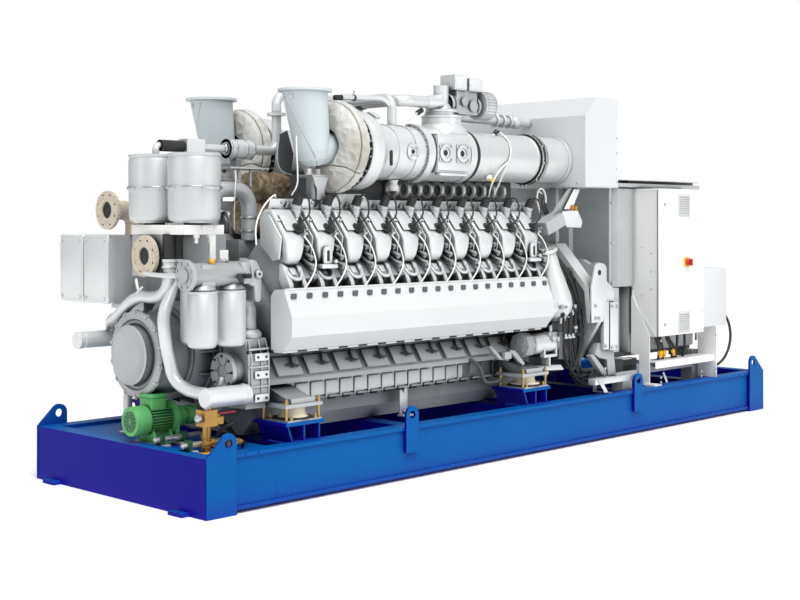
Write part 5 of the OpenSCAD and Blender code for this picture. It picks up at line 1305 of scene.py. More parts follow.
# dark guard plate with a folded light edge, and the pale cables that run down beside the first cylinder
guard = [(-1.861, 2.09), (-1.79, 2.12), (-1.74, 1.98), (-1.76, 1.85), (-1.815, 1.862), (-1.861, 1.895)]
finishPiece([addOutline([(x, -0.2, z) for x, z in guard], (0, 0.006, 0), 0.001)], "vee_guard", "darkEnamelAndShade")
finishPiece([addTube([(x, -0.204, z) for x, z in (guard[0], guard[5], guard[4], guard[3])], 0.004, 8)],
            "vee_guard_edge", "coverEnamel")
finishPiece([addTube([(-2.035, -0.56, 2.06), (-2.045, -0.575, 1.95), (-2.043, -0.58, 1.844),
                      (-2.039, -0.57, 1.774), (-2.045, -0.53, 1.715)], 0.0045, 10),
             addTube([(-2.178, -0.54, 1.7), (-2.215, -0.58, 1.713), (-2.3, -0.61, 1.672),
                      (-2.366, -0.63, 1.61), (-2.41, -0.645, 1.53), (-2.412, -0.65, 1.43)], 0.0048, 10),
             addTube([(-2.204, -0.2, 1.875), (-2.23, -0.245, 1.82), (-2.25, -0.262, 1.746),
                      (-2.236, -0.24, 1.66), (-2.206, -0.2, 1.514)], 0.003, 8)], "free_end_cables",
            "whitePowderCoat")

# exhaust outlets: rolled lip, straight crease of the folded cone, small boss and the forked stand
outlet = {"x": -1.87, "y": -0.45, "rim": 2.35}
ox, oy = outlet["x"], outlet["y"]
lip = [addTurned([(0.126, -0.014), (0.158, -0.014), (0.1625, -0.01), (0.1625, -0.003), (0.159, 0),
                  (0.128, 0)], (ox, oy, outlet["rim"]), (0, 0, 1), 72),
       addRod((ox - 0.118, oy - 0.02, 2.296), (ox - 0.136, oy - 0.03, 2.3), 0.013, 16, bevel=0.003)]
finishPiece(joinPair(lip), "outlet_rims", "stovedPaint")
creasePoints = []
for k in range(15):
    t = k / 14
    z = 2.318 - 0.42 * t
    axisX = ox + 0.06 * (2.335 - z) / 0.345
    cone = 0.137 - 0.029 * (2.335 - z) / 0.345
    if z < 1.99:
        cone = 0.108 * math.sqrt(max(0.05, 1 - ((1.99 - z) / 0.108) ** 2))
    turn = math.radians(-69 + 86 * t) + math.radians(-134.1)
    creasePoints.append((axisX + (cone + 0.0006) * math.cos(turn), oy + (cone + 0.0006) * math.sin(turn), z))
# painted shade: the crease is a tube in a darker grey than the outlet
finishPiece(joinPair([addTube(creasePoints, 0.0028, 6)]), "outlet_creases", "creaseShadeGrey")
stand = [addBlock((-1.865, -0.512, 1.826), (-1.735, -0.388, 1.838), 0.003),
         addOutline([(x, -0.516, z) for x, z in [(-1.862, 1.828), (-1.738, 1.828), (-1.752, 1.79),
                                                 (-1.772, 1.755), (-1.772, 1.69), (-1.83, 1.69),
                                                 (-1.83, 1.755), (-1.85, 1.79)]], (0, 0.01, 0), 0.002)]
finishPiece(joinPair(stand), "outlet_stand_plates", "frameEnamel")
studs = []
for x in (-1.835, -1.765):
    studs += [addRod((x, -0.45, 1.838), (x, -0.45, 1.878), 0.0135, 20, bevel=0.003),
              addRod((x, -0.45, 1.838), (x, -0.45, 1.85), 0.02, 6)]
finishPiece(joinPair(studs), "outlet_stand_studs", "whitePowderCoat")

# compressor casings: rolled edges, tab, dark slots and gaps, the boss at the inlet and the bolts
turbo = {"x": -1.55, "y": -0.45, "z": 2.0}
tx, ty, tz = turbo["x"], turbo["y"], turbo["z"]
shells = [addTurned([(0.16, -0.012), (0.236, -0.012), (0.24, -0.008), (0.24, 0.014), (0.234, 0.018),
                     (0.16, 0.018)], (tx + 0.03, ty, tz), (1, 0, 0), 80),
          addTurned([(0.15, 0), (0.205, 0), (0.218, 0.003), (0.224, 0.01), (0.218, 0.018), (0.205, 0.022),
                     (0.15, 0.022)], (tx + 0.138, ty, tz), (1, 0, 0), 80),
          addTurned([(0.15, 0), (0.17, 0), (0.178, 0.004), (0.178, 0.012), (0.17, 0.016), (0.15, 0.016)],
                    (tx + 0.31, ty, tz), (1, 0, 0), 72),
          addTurned([(0.155, 0), (0.176, 0), (0.1765, 0.006), (0.172, 0.01), (0.155, 0.01)],
                    (tx + 0.47, ty, tz), (1, 0, 0), 72)]
shells.append(addOutline([(tx + 0.15, ty + y, tz + z) for y, z in [(-0.115, 0.19), (-0.05, 0.222),
        (-0.035, 0.238), (-0.062, 0.243), (-0.128, 0.212)]], (0.05, 0, 0), 0.008))
shells.append(addTurned([(0.012, 0), (0.046, 0), (0.052, 0.006), (0.052, 0.014), (0.038, 0.02), (0.03, 0.02),
                         (0.026, 0.012), (0.012, 0.01)], (-1.117, ty - 0.166, tz), (0, -1, 0), 36))
finishPiece(joinPair(shells), "compressor_rims", "coverEnamel")
# painted shade: thin dark sheets in the tab's slot and in the bore of the inlet boss
finishPiece(joinPair([addOutline([(tx + 0.176 + 0.018 * math.cos(a), ty - 0.227 + 0.01 * math.cos(a),
                                   tz - 0.05 + (0.03 if math.sin(a) > 0 else -0.03) + 0.018 * math.sin(a))
                                  for a in [math.radians(d) for d in range(15, 375, 30)]], (0.006, -0.01, 0),
                                 0.001), addRod((-1.117, ty - 0.178, tz), (-1.117, ty - 0.1765, tz), 0.014,
                                                24)]), "compressor_slots", "blackenedSteelAndShade")
ringBolts = []
for k in range(30):
    angle = math.tau * k / 30
    y, z = 0.226 * math.cos(angle), 0.226 * math.sin(angle)
    if k % 5 != 2:
        ringBolts.append(addRod((tx + 0.004, ty + y, tz + z), (tx + 0.02, ty + y, tz + z), 0.0075, 6))
for k in range(4):
    angle = math.radians(45 + 90 * k)
    ringBolts.append(addRod((-1.117 + 0.039 * math.cos(angle), ty - 0.184, tz + 0.039 * math.sin(angle)),
                            (-1.117 + 0.039 * math.cos(angle), ty - 0.19, tz + 0.039 * math.sin(angle)),
                            0.006, 6))
for k in range(24):
    angle = math.tau * k / 24
    y, z = 0.178 * math.cos(angle), 0.178 * math.sin(angle)
    ringBolts.append(addRod((-0.98, ty + y, tz + z), (-0.989, ty + y, tz + z), 0.007, 6))
# painted shade: a dark ring in the gap at the compressor casing
finishPiece(joinPair([addTurned([(0.17, 0), (0.205, 0), (0.205, 0.034), (0.17, 0.034)], (tx - 0.02, ty, tz),
                                (1, 0, 0), 64)]), "turbine_gaps", "blackenedSteelAndShade")
finishPiece(joinPair(ringBolts), "turbo_bolts", "brightZinc")

# gas mixers: bolted ports, ledge, shouldered neck, flanges and the dark gap between them
mixer = {"x0": -0.92, "x1": -0.56, "z": 2.0, "neckX": -0.66}
castings = [addBlock((mixer["x0"] + 0.018, -0.64, 1.88), (mixer["x1"] - 0.018, -0.56, 2.12), 0.018, 4),
            addBlock((mixer["x0"] + 0.03, -0.65, 1.855), (mixer["x1"] - 0.06, -0.6, 1.873), 0.004),
            addTurned([(0.15, 0), (0.183, 0), (0.1895, 0.005), (0.1895, 0.038), (0.184, 0.044),
                       (0.15, 0.044)], (mixer["x0"] - 0.05, -0.45, mixer["z"]), (1, 0, 0), 72),
            addTurned([(0.15, 0), (0.174, 0), (0.1785, 0.004), (0.1785, 0.02), (0.172, 0.024),
                       (0.15, 0.024)], (mixer["x1"] + 0.02, -0.45, mixer["z"]), (1, 0, 0), 72)]
portDiscs, portBolts = [], []
for x in (-0.832, -0.669):
    castings.append(addTurned([(0.02, 0), (0.052, 0), (0.056, 0.004), (0.056, 0.01), (0.046, 0.014),
                               (0.036, 0.014), (0.034, 0.006), (0.02, 0.004)], (x, -0.64, 2.002), (0, -1, 0),
                              40))
    portDiscs.append(addRod((x, -0.6405, 2.002), (x, -0.644, 2.002), 0.021, 24))
    for k in range(4):
        angle = math.radians(45 + 90 * k)
        bx, bz = x + 0.062 * math.cos(angle), 2.002 + 0.062 * math.sin(angle)
        castings.append(addRod((bx, -0.64, bz), (bx, -0.648, bz), 0.016, 16, bevel=0.002))
        portBolts.append(addRod((bx, -0.648, bz), (bx, -0.655, bz), 0.0085, 6))
neck = mixer["neckX"]
castings.append(addTurned([(0.12, -0.06), (0.176, -0.06), (0.17, -0.03), (0.15, 0.005), (0.132, 0.02),
                           (0.13, 0.06), (0.134, 0.064), (0.134, 0.078), (0.1, 0.08)], (neck, -0.45, 2.18),
                          (0, 0, 1), 64))
castings.append(addTurned([(0.09, 0), (0.108, 0), (0.1085, 0.003), (0.1085, 0.018), (0.104, 0.02),
                           (0.058, 0.022), (0.052, 0.04), (0.05, 0.06)], (neck, -0.45, 2.279), (0, 0, 1), 56))
finishPiece(joinPair(castings), "mixer_castings", "coverEnamel")
finishPiece(joinPair(portDiscs + [addTurned([(0.06, 0), (0.11, 0), (0.11, 0.01), (0.06, 0.01)],
                                            (neck, -0.45, 2.2675), (0, 0, 1), 56)]), "mixer_port_shades",
            "blackenedSteelAndShade")
for k in range(12):
    angle = math.tau * (k + 0.5) / 12
    bx, by = neck + 0.096 * math.cos(angle), -0.45 + 0.096 * math.sin(angle)
    portBolts.append(addRod((bx, by, 2.297), (bx, by, 2.306), 0.007, 6))
finishPiece(joinPair(portBolts), "mixer_bolts", "brightZinc")

# thin pipe bending down into the compressor inlet, and the probes with their plugs and cables
thin = [addTube([(-1.56, -0.44, 2.322), (-1.42, -0.44, 2.33), (-1.26, -0.442, 2.338), (-1.2, -0.445, 2.334),
                 (-1.152, -0.448, 2.304), (-1.133, -0.45, 2.262), (-1.13, -0.45, 2.19)], 0.0165, 18),
        addTurned([(0, 0), (0.028, 0), (0.03, 0.006), (0.03, 0.022), (0.022, 0.026), (0.022, 0.04),
                   (0.028, 0.044), (0.028, 0.058), (0.017, 0.064), (0, 0.064)], (-1.13, -0.45, 2.166),
                  (0, 0, 1), 24), addRod((-1.455, -0.44, 2.34), (-1.455, -0.44, 2.372), 0.006, 10),
        addRod((-1.468, -0.452, 2.366), (-1.438, -0.43, 2.372), 0.005, 10)]
finishPiece(thin, "inlet_vent_pipe", "coverEnamel")
finishPiece([addRod((-1.62, -0.44, 2.317), (-1.558, -0.44, 2.322), 0.018, 20, bevel=0.004),
             addTurned([(0.016, 0), (0.02, 0), (0.02, 0.012), (0.016, 0.012)], (-1.462, -0.44, 2.327),
                       (1, 0, 0.04), 24)], "inlet_vent_sleeve", "blackRubber")
probes = [addTube([(-1.03, -0.45, 2.166), (-1.0, -0.45, 2.205), (-0.94, -0.45, 2.24), (-0.89, -0.45, 2.268)],
                  0.0075, 10), addRod((-1.034, -0.45, 2.16), (-1.02, -0.45, 2.186), 0.014, 6),
          addRod((-0.21, -0.505, 2.13), (-0.188, -0.51, 2.16), 0.012, 12, bevel=0.002),
          addRod((-0.216, -0.505, 2.122), (-0.206, -0.506, 2.136), 0.018, 6),
          addTurned([(0, 0), (0.02, 0), (0.022, 0.006), (0.022, 0.02), (0.014, 0.024), (0.014, 0.04),
                     (0, 0.042)], (-0.304, -0.548, 1.866), (0, -0.8, -0.55), 20)]
finishPiece(probes, "probe_fittings", "whitePowderCoat")
finishPiece([addRod((-0.895, -0.45, 2.264), (-0.848, -0.45, 2.288), 0.017, 18, bevel=0.004),
             addRod((-0.192, -0.509, 2.154), (-0.166, -0.514, 2.182), 0.015, 18, 0.017, 0.004),
             addRod((-0.17, -0.513, 2.178), (-0.146, -0.514, 2.176), 0.01, 14, bevel=0.002)], "probe_plugs",
            "blackNylon")
finishPiece([addTurned([(0, 0), (0.013, 0), (0.013, 0.014), (0, 0.016)], (-0.304, -0.58, 1.843),
                       (0, -0.8, -0.55), 18)], "probe_seal", "yellowPlastic")
finishPiece([addTube([(-0.148, -0.515, 2.174), (-0.128, -0.545, 2.15), (-0.13, -0.595, 2.09),
                      (-0.15, -0.622, 2.02), (-0.18, -0.62, 1.955), (-0.196, -0.592, 1.88),
                      (-0.196, -0.556, 1.815), (-0.19, -0.52, 1.76)], 0.0055, 8),
             addTube([(-0.19, -0.62, 1.958), (-0.24, -0.616, 1.92), (-0.285, -0.606, 1.868),
                      (-0.3, -0.576, 1.8), (-0.28, -0.54, 1.74), (-0.25, -0.505, 1.7)], 0.0055, 8)],
            "probe_cables", "whitePowderCoat")

# air pipes: seam beads, clamp bands with their screws, and the collar at the hood
air = {"y": -0.45, "z": 2.0, "clamp": 0.19, "hood": 0.55}
pipeRings, clampBits, sleeves = [], [], []
for x in (-0.462, 0.162):
    pipeRings.append(addTurned([(0.15, 0), (0.1655, 0), (0.169, 0.004), (0.169, 0.012), (0.1655, 0.016),
                                (0.15, 0.016)], (x, air["y"], air["z"]), (1, 0, 0), 80))
pipeRings.append(addTurned([(0.15, 0), (0.1655, 0), (0.1665, 0.002), (0.1665, 0.006), (0.1655, 0.008),
                            (0.15, 0.008)], (-0.35, air["y"], air["z"]), (1, 0, 0), 80))
pipeRings.append(addTurned([(0.15, 0), (0.168, 0), (0.174, 0.02), (0.176, 0.036), (0.15, 0.036)],
                           (air["hood"] - 0.037, air["y"], air["z"]), (1, 0, 0), 80))
for x in (0.196, 0.236):
    clampBits.append(addTurned([(0.176, 0), (0.1795, 0), (0.1805, 0.003), (0.1805, 0.011), (0.1795, 0.014),
                                (0.176, 0.014)], (x, air["y"], air["z"]), (1, 0, 0), 80))
    for angle in [math.radians(d) for d in (20, 62, 100, 142, 185, 228, 270, 318)]:
        y, z = air["y"] - 0.183 * math.sin(angle), air["z"] + 0.183 * math.cos(angle)
        clampBits.append(addBlock((x - 0.001, y - 0.009, z - 0.008), (x + 0.015, y + 0.009, z + 0.008),
                                  0.003))
sleeves.append(addTurned([(0.15, 0), (0.1765, 0), (0.1785, 0.006), (0.177, 0.034), (0.1785, 0.062),
                          (0.1765, 0.069), (0.15, 0.069)], (air["clamp"], air["y"], air["z"]), (1, 0, 0), 80))
finishPiece(joinPair(pipeRings), "air_pipe_rings", "sheetSteel")
finishPiece(joinPair(clampBits), "air_pipe_clamps", "brightZinc")
finishPiece(joinPair(sleeves), "air_pipe_sleeves", "blackRubber")

# bypass pipe: ring flanges and the rounded end at the hood
bypass = []
for x in (0.15, 0.225, 0.3):
    bypass.append(addTurned([(0.028, 0), (0.046, 0), (0.049, 0.004), (0.049, 0.012), (0.046, 0.016),
                             (0.028, 0.016)], (x, -0.22, 2.285), (1, 0, 0), 40))
bypass.append(addTurned([(0.028, 0), (0.036, 0.004), (0.047, 0.024), (0.05, 0.044), (0.046, 0.064),
                         (0.034, 0.08), (0.028, 0.082)], (0.345, -0.22, 2.285), (1, 0, 0), 40))
bypass.append(addTurned([(0.03, 0), (0.044, 0), (0.044, 0.012), (0.036, 0.018), (0.03, 0.018)],
                        (-0.43, -0.35, 2.166), (0, 0, 1), 36))
finishPiece(bypass, "bypass_flanges", "sheetSteel")

# gas valve: flanges, actuator boxes and the ribbed cooling disc
valve = {"x": -0.66, "y": -0.45, "z": 2.34}
vx, vy, vz = valve["x"], valve["y"], valve["z"]
valveBody = [addTurned([(0.046, 0), (0.068, 0), (0.072, 0.004), (0.072, 0.016), (0.06, 0.02), (0.06, 0.03),
                        (0.072, 0.034), (0.072, 0.046), (0.046, 0.048)], (vx + 0.04, vy, vz), (1, 0, 0), 44),
             addBlock((vx + 0.093, vy - 0.057, vz - 0.062), (vx + 0.302, vy + 0.057, vz + 0.097), 0.012, 3),
             addTurned([(0, 0), (0.026, 0), (0.03, 0.006), (0.03, 0.022), (0, 0.024)],
                       (vx + 0.15, vy - 0.057, vz + 0.02), (0, -1, 0), 24),
             addTurned([(0, 0), (0.034, 0), (0.038, 0.006), (0.038, 0.02), (0, 0.022)],
                       (vx + 0.24, vy - 0.057, vz - 0.005), (0, -1, 0), 24),
             addTurned([(0.046, 0), (0.06, 0), (0.064, 0.004), (0.064, 0.014), (0.046, 0.018)],
                       (vx + 0.318, vy, vz), (1, 0, 0), 40)]
for k in range(8):
    angle = math.tau * k / 8
    valveBody.append(addRod((vx + 0.088, vy + 0.062 * math.cos(angle), vz + 0.062 * math.sin(angle)),
                            (vx + 0.097, vy + 0.062 * math.cos(angle), vz + 0.062 * math.sin(angle)), 0.006,
                            6))
finishPiece(joinPair(valveBody[:1]), "gas_flanges", "blastedAluminium")
finishPiece(valveBody[1:], "gas_valve_body", "blastedAluminium")
boxes = [addBlock((vx + 0.058, vy - 0.072, vz + 0.097), (vx + 0.18, vy + 0.062, vz + 0.1945), 0.008, 3),
         addBlock((vx + 0.203, vy - 0.072, vz + 0.097), (vx + 0.337, vy + 0.062, vz + 0.1795), 0.008, 3),
         addBlock((vx + 0.066, vy - 0.0745, vz + 0.104), (vx + 0.172, vy - 0.07, vz + 0.187), 0.002),
         addBlock((vx + 0.211, vy - 0.0745, vz + 0.104), (vx + 0.329, vy - 0.07, vz + 0.172), 0.002)]
finishPiece(boxes, "gas_valve_boxes", "greyPowderCoat")
disc = [addTurned([(0, 0), (0.088, 0), (0.097, 0.006), (0.097, 0.02), (0.09, 0.026), (0.09, 0.084),
                   (0.097, 0.09), (0.097, 0.104), (0.088, 0.11), (0, 0.111)], (vx + 0.36, vy, vz + 0.01),
                  (1, 0, 0), 60)]
for k in range(28):
    angle = math.tau * k / 28
    c, s = math.cos(angle), math.sin(angle)
    disc.append(addOutline([(vx + 0.382, vy + c * 0.088, vz + 0.01 + s * 0.088),
                            (vx + 0.382, vy + c * 0.0985, vz + 0.01 + s * 0.0985),
                            (vx + 0.448, vy + c * 0.0985, vz + 0.01 + s * 0.0985),
                            (vx + 0.448, vy + c * 0.088, vz + 0.01 + s * 0.088)], (0, -0.006 * s, 0.006 * c),
                           0.001))
    if k % 2 == 0:
        disc.append(addOutline([(vx + 0.361, vy + c * 0.03, vz + 0.01 + s * 0.03),
                                (vx + 0.361, vy + c * 0.082, vz + 0.01 + s * 0.082),
                                (vx + 0.354, vy + c * 0.07, vz + 0.01 + s * 0.07)],
                               (0, -0.004 * s, 0.004 * c), 0))
finishPiece(disc, "gas_valve_disc", "blastedAluminium")
gasBands = [addTurned([(0.036, 0), (0.0415, 0), (0.0425, 0.003), (0.0425, 0.052), (0.0415, 0.055),
                       (0.036, 0.055)], (-1.045, y, 2.34), (0, 1, 0), 36) for y in (-0.12, 0.08)]
finishPiece(gasBands, "gas_pipe_bands", "darkEnamelAndShade")

# exhaust manifold: rings between its sections, a dark sheet of painted shade behind them, and one fitting
bellowRims = []
for k in range(11):
    bellowRims.append(addTurned([(0.04, 0), (0.058, 0), (0.061, 0.004), (0.061, 0.02), (0.058, 0.024),
                                 (0.04, 0.024)], (-1.04 + 0.108 * k, -0.35, 1.77), (1, 0, 0), 32))
finishPiece(joinPair(bellowRims), "manifold_rings", "sheetSteel")
# painted shade: a thin dark sheet behind the manifold rings
finishPiece(joinPair([addBlock((-1.56, -0.286, 1.66), (0.26, -0.283, 1.88), 0)]), "manifold_shade_sheets",
            "darkEnamelAndShade")
finishPiece([addTurned([(0, 0), (0.03, 0), (0.034, 0.006), (0.034, 0.034), (0.024, 0.04), (0.024, 0.056),
                        (0.03, 0.06), (0.03, 0.07), (0, 0.072)], (-1.119, -0.455, 1.755), (0, 0, 1), 28)],
            "manifold_fittings", "whitePowderCoat")

# junction box behind the last cylinder with its unions, strap and looped cables
finishPiece([addOutline([(0.43, -0.64, 1.65), (0.52, -0.64, 1.65), (0.615, -0.64, 1.792),
                         (0.548, -0.64, 1.792)], (0, 0.006, 0), 0.001)], "box_strap", "whitePowderCoat")
brassBits = []
for x, z in ((0.505, 1.64), (0.545, 1.635)):
    brassBits.append(addTurned([(0, 0), (0.013, 0), (0.013, 0.01), (0.017, 0.012), (0.017, 0.026),
                                (0.011, 0.03), (0.011, 0.04), (0, 0.04)], (x, -0.64, z), (0.3, -0.3, 1), 18))
finishPiece(brassBits, "box_unions", "drawnBrass")
loops = [addTube([(0.33, -0.52, 1.575), (0.29, -0.52, 1.66), (0.282, -0.51, 1.74), (0.315, -0.505, 1.79),
                  (0.352, -0.505, 1.79), (0.376, -0.51, 1.75), (0.372, -0.52, 1.69)], 0.0065, 10),
         addTube([(0.345, -0.51, 1.58), (0.306, -0.5, 1.665), (0.3, -0.49, 1.73), (0.33, -0.49, 1.772),
                  (0.36, -0.49, 1.76)], 0.0055, 10)]
finishPiece(loops, "box_cables", "whitePowderCoat")
darkLoops = [addTube([(0.39, -0.52, 1.59), (0.352, -0.515, 1.64), (0.345, -0.505, 1.7),
                      (0.368, -0.5, 1.735)], 0.0075, 10),
             addTube([(0.41, -0.53, 1.6), (0.372, -0.525, 1.64), (0.372, -0.515, 1.7)], 0.0085, 10)]
finishPiece(darkLoops, "box_hoses", "blackRubber")

# breather line: rings on the valve and along the pipe
breather = {"y": -0.05, "z": 2.0}
by, bz = breather["y"], breather["z"]
rings = []
for x in (-2.15, -2.11, -2.03, -1.975):
    rings.append(addTurned([(0.04, 0), (0.06, 0), (0.0625, 0.003), (0.0625, 0.011), (0.06, 0.014),
                            (0.04, 0.014)], (x, by, bz), (1, 0, 0), 40))
for x in (-2.635, -2.485, -2.17):
    rings.append(addTurned([(0.02, 0), (0.031, 0), (0.033, 0.003), (0.033, 0.01), (0.02, 0.012)],
                           (x, by, bz), (1, 0, 0), 32))
finishPiece(rings, "breather_rings", "brightZinc")
print("top detail made")

# wiring-duct end: tapered elbow with its bolted top flange, short pipe and clip
elbow = {"y": -0.61, "top": (0.235, 1.345)}
tapered = [addTurned([(0, 0), (0.076, 0), (0.08, 0.01), (0.092, 0.13), (0.112, 0.25), (0.128, 0.34),
                      (0.128, 0.395), (0.112, 0.45), (0.07, 0.49), (0, 0.5)], (elbow["top"][0], elbow["y"],
        elbow["top"][1]), (0.28, -0.02, -0.96), 56),
        addTurned([(0, 0), (0.092, 0), (0.096, 0.005), (0.096, 0.02), (0.092, 0.024), (0, 0.024)],
                  (elbow["top"][0] - 0.006, elbow["y"], elbow["top"][1] + 0.02), (0.28, -0.02, -0.96), 56),
        addRod((0.25, -0.64, 0.96), (0.12, -0.64, 0.96), 0.085, 40, 0.075, 0.006)]
finishPiece(bothSides(tapered), "duct_end_elbows", "coverEnamel")
elbowBits = boltRing((elbow["top"][0] - 0.006, elbow["y"], elbow["top"][1] + 0.02), (-0.28, 0.02, 0.96),
                     0.084, 10, 0.009)
elbowBits += [addBlock((0.262, -0.742, 0.95), (0.33, -0.724, 0.974), 0.004), addRod((0.275, -0.744, 0.962),
        (0.275, -0.752, 0.962), 0.008, 6), addRod((0.318, -0.744, 0.962), (0.318, -0.752, 0.962), 0.008, 6)]
finishPiece(bothSides(elbowBits), "duct_end_bolts", "brightZinc")

# starter: speckled eight-sided head, end flanges and mounting bracket
starter = {"x": -0.08, "y": -0.645, "z": 0.715}
sx, sy, sz = starter["x"], starter["y"], starter["z"]
head = [addRod((sx - 0.006, sy, sz), (sx + 0.074, sy, sz), 0.086, 8, bevel=0.004),
        addRod((sx - 0.012, sy, sz), (sx - 0.004, sy, sz), 0.062, 24, bevel=0.002)]
finishPiece(bothSides(head), "starter_heads", "speckledCasting")
ears = [addRod((sx + 0.078, sy, sz), (sx + 0.096, sy, sz), 0.08, 32, bevel=0.004),
        addRod((sx + 0.33, sy, sz), (sx + 0.338, sy, sz), 0.082, 32, bevel=0.003),
        addBlock((sx - 0.24, -0.715, 0.64), (sx - 0.17, -0.66, 0.69), 0.006),
        addOutline([(-0.25, -0.69, 0.7), (-0.18, -0.69, 0.69), (-0.09, -0.7, 0.6), (-0.11, -0.7, 0.58)],
                   (0, 0.03, 0), 0.004),
        addOutline([(-0.4, -0.66, 0.74), (-0.33, -0.69, 0.66), (-0.25, -0.69, 0.64), (-0.25, -0.69, 0.625),
                    (-0.345, -0.69, 0.64), (-0.42, -0.66, 0.73)], (0, 0.04, 0), 0.003)]
finishPiece(bothSides(ears), "starter_brackets", "castEnamel")

# fuel and oil fittings with their unions and black knobs
fit = {"x": 0.226, "y": -0.7, "z": 0.752}
fx, fy, fz = fit["x"], fit["y"], fit["z"]
fittings = [addBlock((fx - 0.06, fy - 0.01, fz - 0.045), (fx + 0.05, fy + 0.06, fz + 0.04), 0.01, 3),
            addRod((fx - 0.03, fy - 0.012, fz + 0.005), (fx - 0.03, fy - 0.034, fz + 0.005), 0.024, 24,
                   bevel=0.003), addRod((fx + 0.02, fy - 0.012, fz - 0.01),
                                        (fx + 0.02, fy - 0.028, fz - 0.01), 0.018, 6),
            addRod((fx + 0.05, fy + 0.02, fz), (fx + 0.15, fy + 0.02, fz - 0.01), 0.014, 16, bevel=0.002),
            addRod((fx - 0.012, fy + 0.02, fz + 0.04), (fx - 0.012, fy + 0.02, fz + 0.085), 0.013, 16,
                   bevel=0.002), addTurned([(0, 0), (0.02, 0), (0.024, 0.006), (0.024, 0.03), (0.016, 0.034),
                                            (0.016, 0.05), (0, 0.052)], (fx - 0.066, fy + 0.02, fz - 0.01),
                                           (-1, 0, 0), 20)]
for x, z in ((0.352, 0.735), (0.398, 0.735), (0.44, 0.735), (0.47, 0.8)):
    fittings.append(addTurned([(0, 0), (0.014, 0), (0.019, 0.003), (0.019, 0.018), (0.013, 0.022),
                               (0.013, 0.034), (0, 0.035)], (x, -0.704, z), (0, 0, 1), 18))
for x, z in ((0.3, 0.862), (0.345, 0.88), (0.392, 0.9), (0.44, 0.915), (0.466, 0.948), (0.42, 0.965)):
    fittings.append(addRod((x, -0.704, z), (x, -0.704, z + 0.024), 0.014, 6))
    fittings.append(addRod((x, -0.704, z - 0.016), (x, -0.704, z), 0.01, 16))
finishPiece(fittings, "fuel_fittings", "brightZinc")
unionsDark = []
for x, z0, z1 in ((0.331, 0.745, 0.88), (0.398, 0.76, 0.9), (0.414, 0.76, 0.905), (0.466, 0.82, 0.945)):
    unionsDark.append(addRod((x, -0.708, z0), (x, -0.708, z1), 0.01, 14, bevel=0.002))
for x, z in ((0.384, 0.905), (0.446, 0.93), (0.47, 0.76), (0.486, 0.88), (0.3, 0.905)):
    unionsDark.append(addRod((x, -0.712, z), (x + 0.006, -0.734, z + 0.004), 0.015, 16, bevel=0.004))
# radius and route of each hose
hoseRuns = {
    "a": (0.0085, [(0.318, -0.708, 0.752), (0.328, -0.708, 0.7), (0.352, -0.7, 0.63), (0.4, -0.69, 0.555),
                   (0.47, -0.675, 0.495), (0.56, -0.66, 0.455), (0.66, -0.65, 0.425), (0.758, -0.65, 0.4)]),
    "b": (0.0085, [(0.412, -0.7, 0.765), (0.405, -0.704, 0.7), (0.412, -0.7, 0.62), (0.45, -0.685, 0.53),
                   (0.52, -0.665, 0.455), (0.6, -0.655, 0.405), (0.68, -0.645, 0.38),
                   (0.754, -0.645, 0.372)]),
    "c": (0.011, [(0.548, -0.6, 1.2), (0.574, -0.612, 1.12), (0.598, -0.624, 1.03), (0.612, -0.629, 0.93),
                  (0.618, -0.632, 0.83), (0.612, -0.632, 0.7), (0.594, -0.634, 0.59), (0.59, -0.636, 0.5),
                  (0.62, -0.64, 0.43), (0.684, -0.644, 0.39), (0.752, -0.65, 0.38)]),
    "d": (0.0085, [(0.548, -0.59, 1.225), (0.516, -0.605, 1.16), (0.506, -0.632, 1.05), (0.505, -0.65, 0.9)]),
    "e": (0.0085, [(0.5, -0.64, 0.86), (0.52, -0.64, 0.78), (0.52, -0.64, 0.66), (0.5, -0.64, 0.56),
                   (0.528, -0.632, 0.47), (0.58, -0.63, 0.4), (0.664, -0.632, 0.372), (0.754, -0.638, 0.36)]),
}
for label, (radius, run) in hoseRuns.items():
    makeCord("fuel_hose_" + label, {"radius": radius, "stiffness": "medium", "route": run})
finishPiece(unionsDark, "fuel_unions", "blackRubber")
bracketU = [addOutline([(x, -0.712, z) for x, z in [(0.106, 0.7), (0.122, 0.7), (0.122, 0.64), (0.238, 0.64),
                                                    (0.238, 0.7), (0.254, 0.7), (0.254, 0.62),
                                                    (0.106, 0.62)]], (0, 0.04, 0), 0.003),
            addBlock((0.16, -0.712, 0.56), (0.176, -0.64, 0.622), 0.002),
            addOutline([(0.04, -0.705, 0.56), (0.3, -0.705, 0.56), (0.34, -0.705, 0.52),
                        (0.04, -0.705, 0.535)], (0, 0.09, 0), 0.003)]
finishPiece(bracketU, "fuel_bracket", "sheetSteel")

# flywheel housing: light strip round its hoop
hoopParts = [addTube([(0.56 + 0.4 * math.sin(math.radians(a)) * 0.9, -0.735,
                       0.8 + 0.4 * math.cos(math.radians(a))) for a in range(62, 150, 8)], 0.009, 8)]
finishPiece(bothSides(hoopParts), "housing_strips", "sheetSteel")

# generator mounting: plate with a lug, a second plate, two posts, the dark eye and gap, and the bolts
plateY = -0.7835
plates = [addOutline([(x, plateY, z) for x, z in [(0.56, 1.09), (0.6, 1.225), (0.618, 1.252), (0.65, 1.266),
                                                  (0.72, 1.256), (0.742, 1.225), (0.742, 0.96), (0.7, 0.84),
                                                  (0.56, 0.84)]], (0, 0.018, 0), 0.004),
          addOutline([(x, plateY + 0.024, z) for x, z in [(0.742, 1.17), (0.79, 1.12), (0.86, 1.075),
                                                          (0.878, 1.04), (0.862, 0.98), (0.742, 0.98)]],
                     (0, 0.016, 0), 0.004), addBlock((0.706, plateY - 0.002, 0.64),
                                                     (0.768, plateY + 0.03, 0.985), 0.003),
          addBlock((0.782, plateY - 0.002, 0.63), (0.88, plateY + 0.044, 0.975), 0.004),
          addBlock((0.768, plateY + 0.012, 0.632), (0.782, plateY + 0.04, 0.98), 0.001)]
finishPiece(bothSides(plates), "mounting_plates", "coverEnamel")
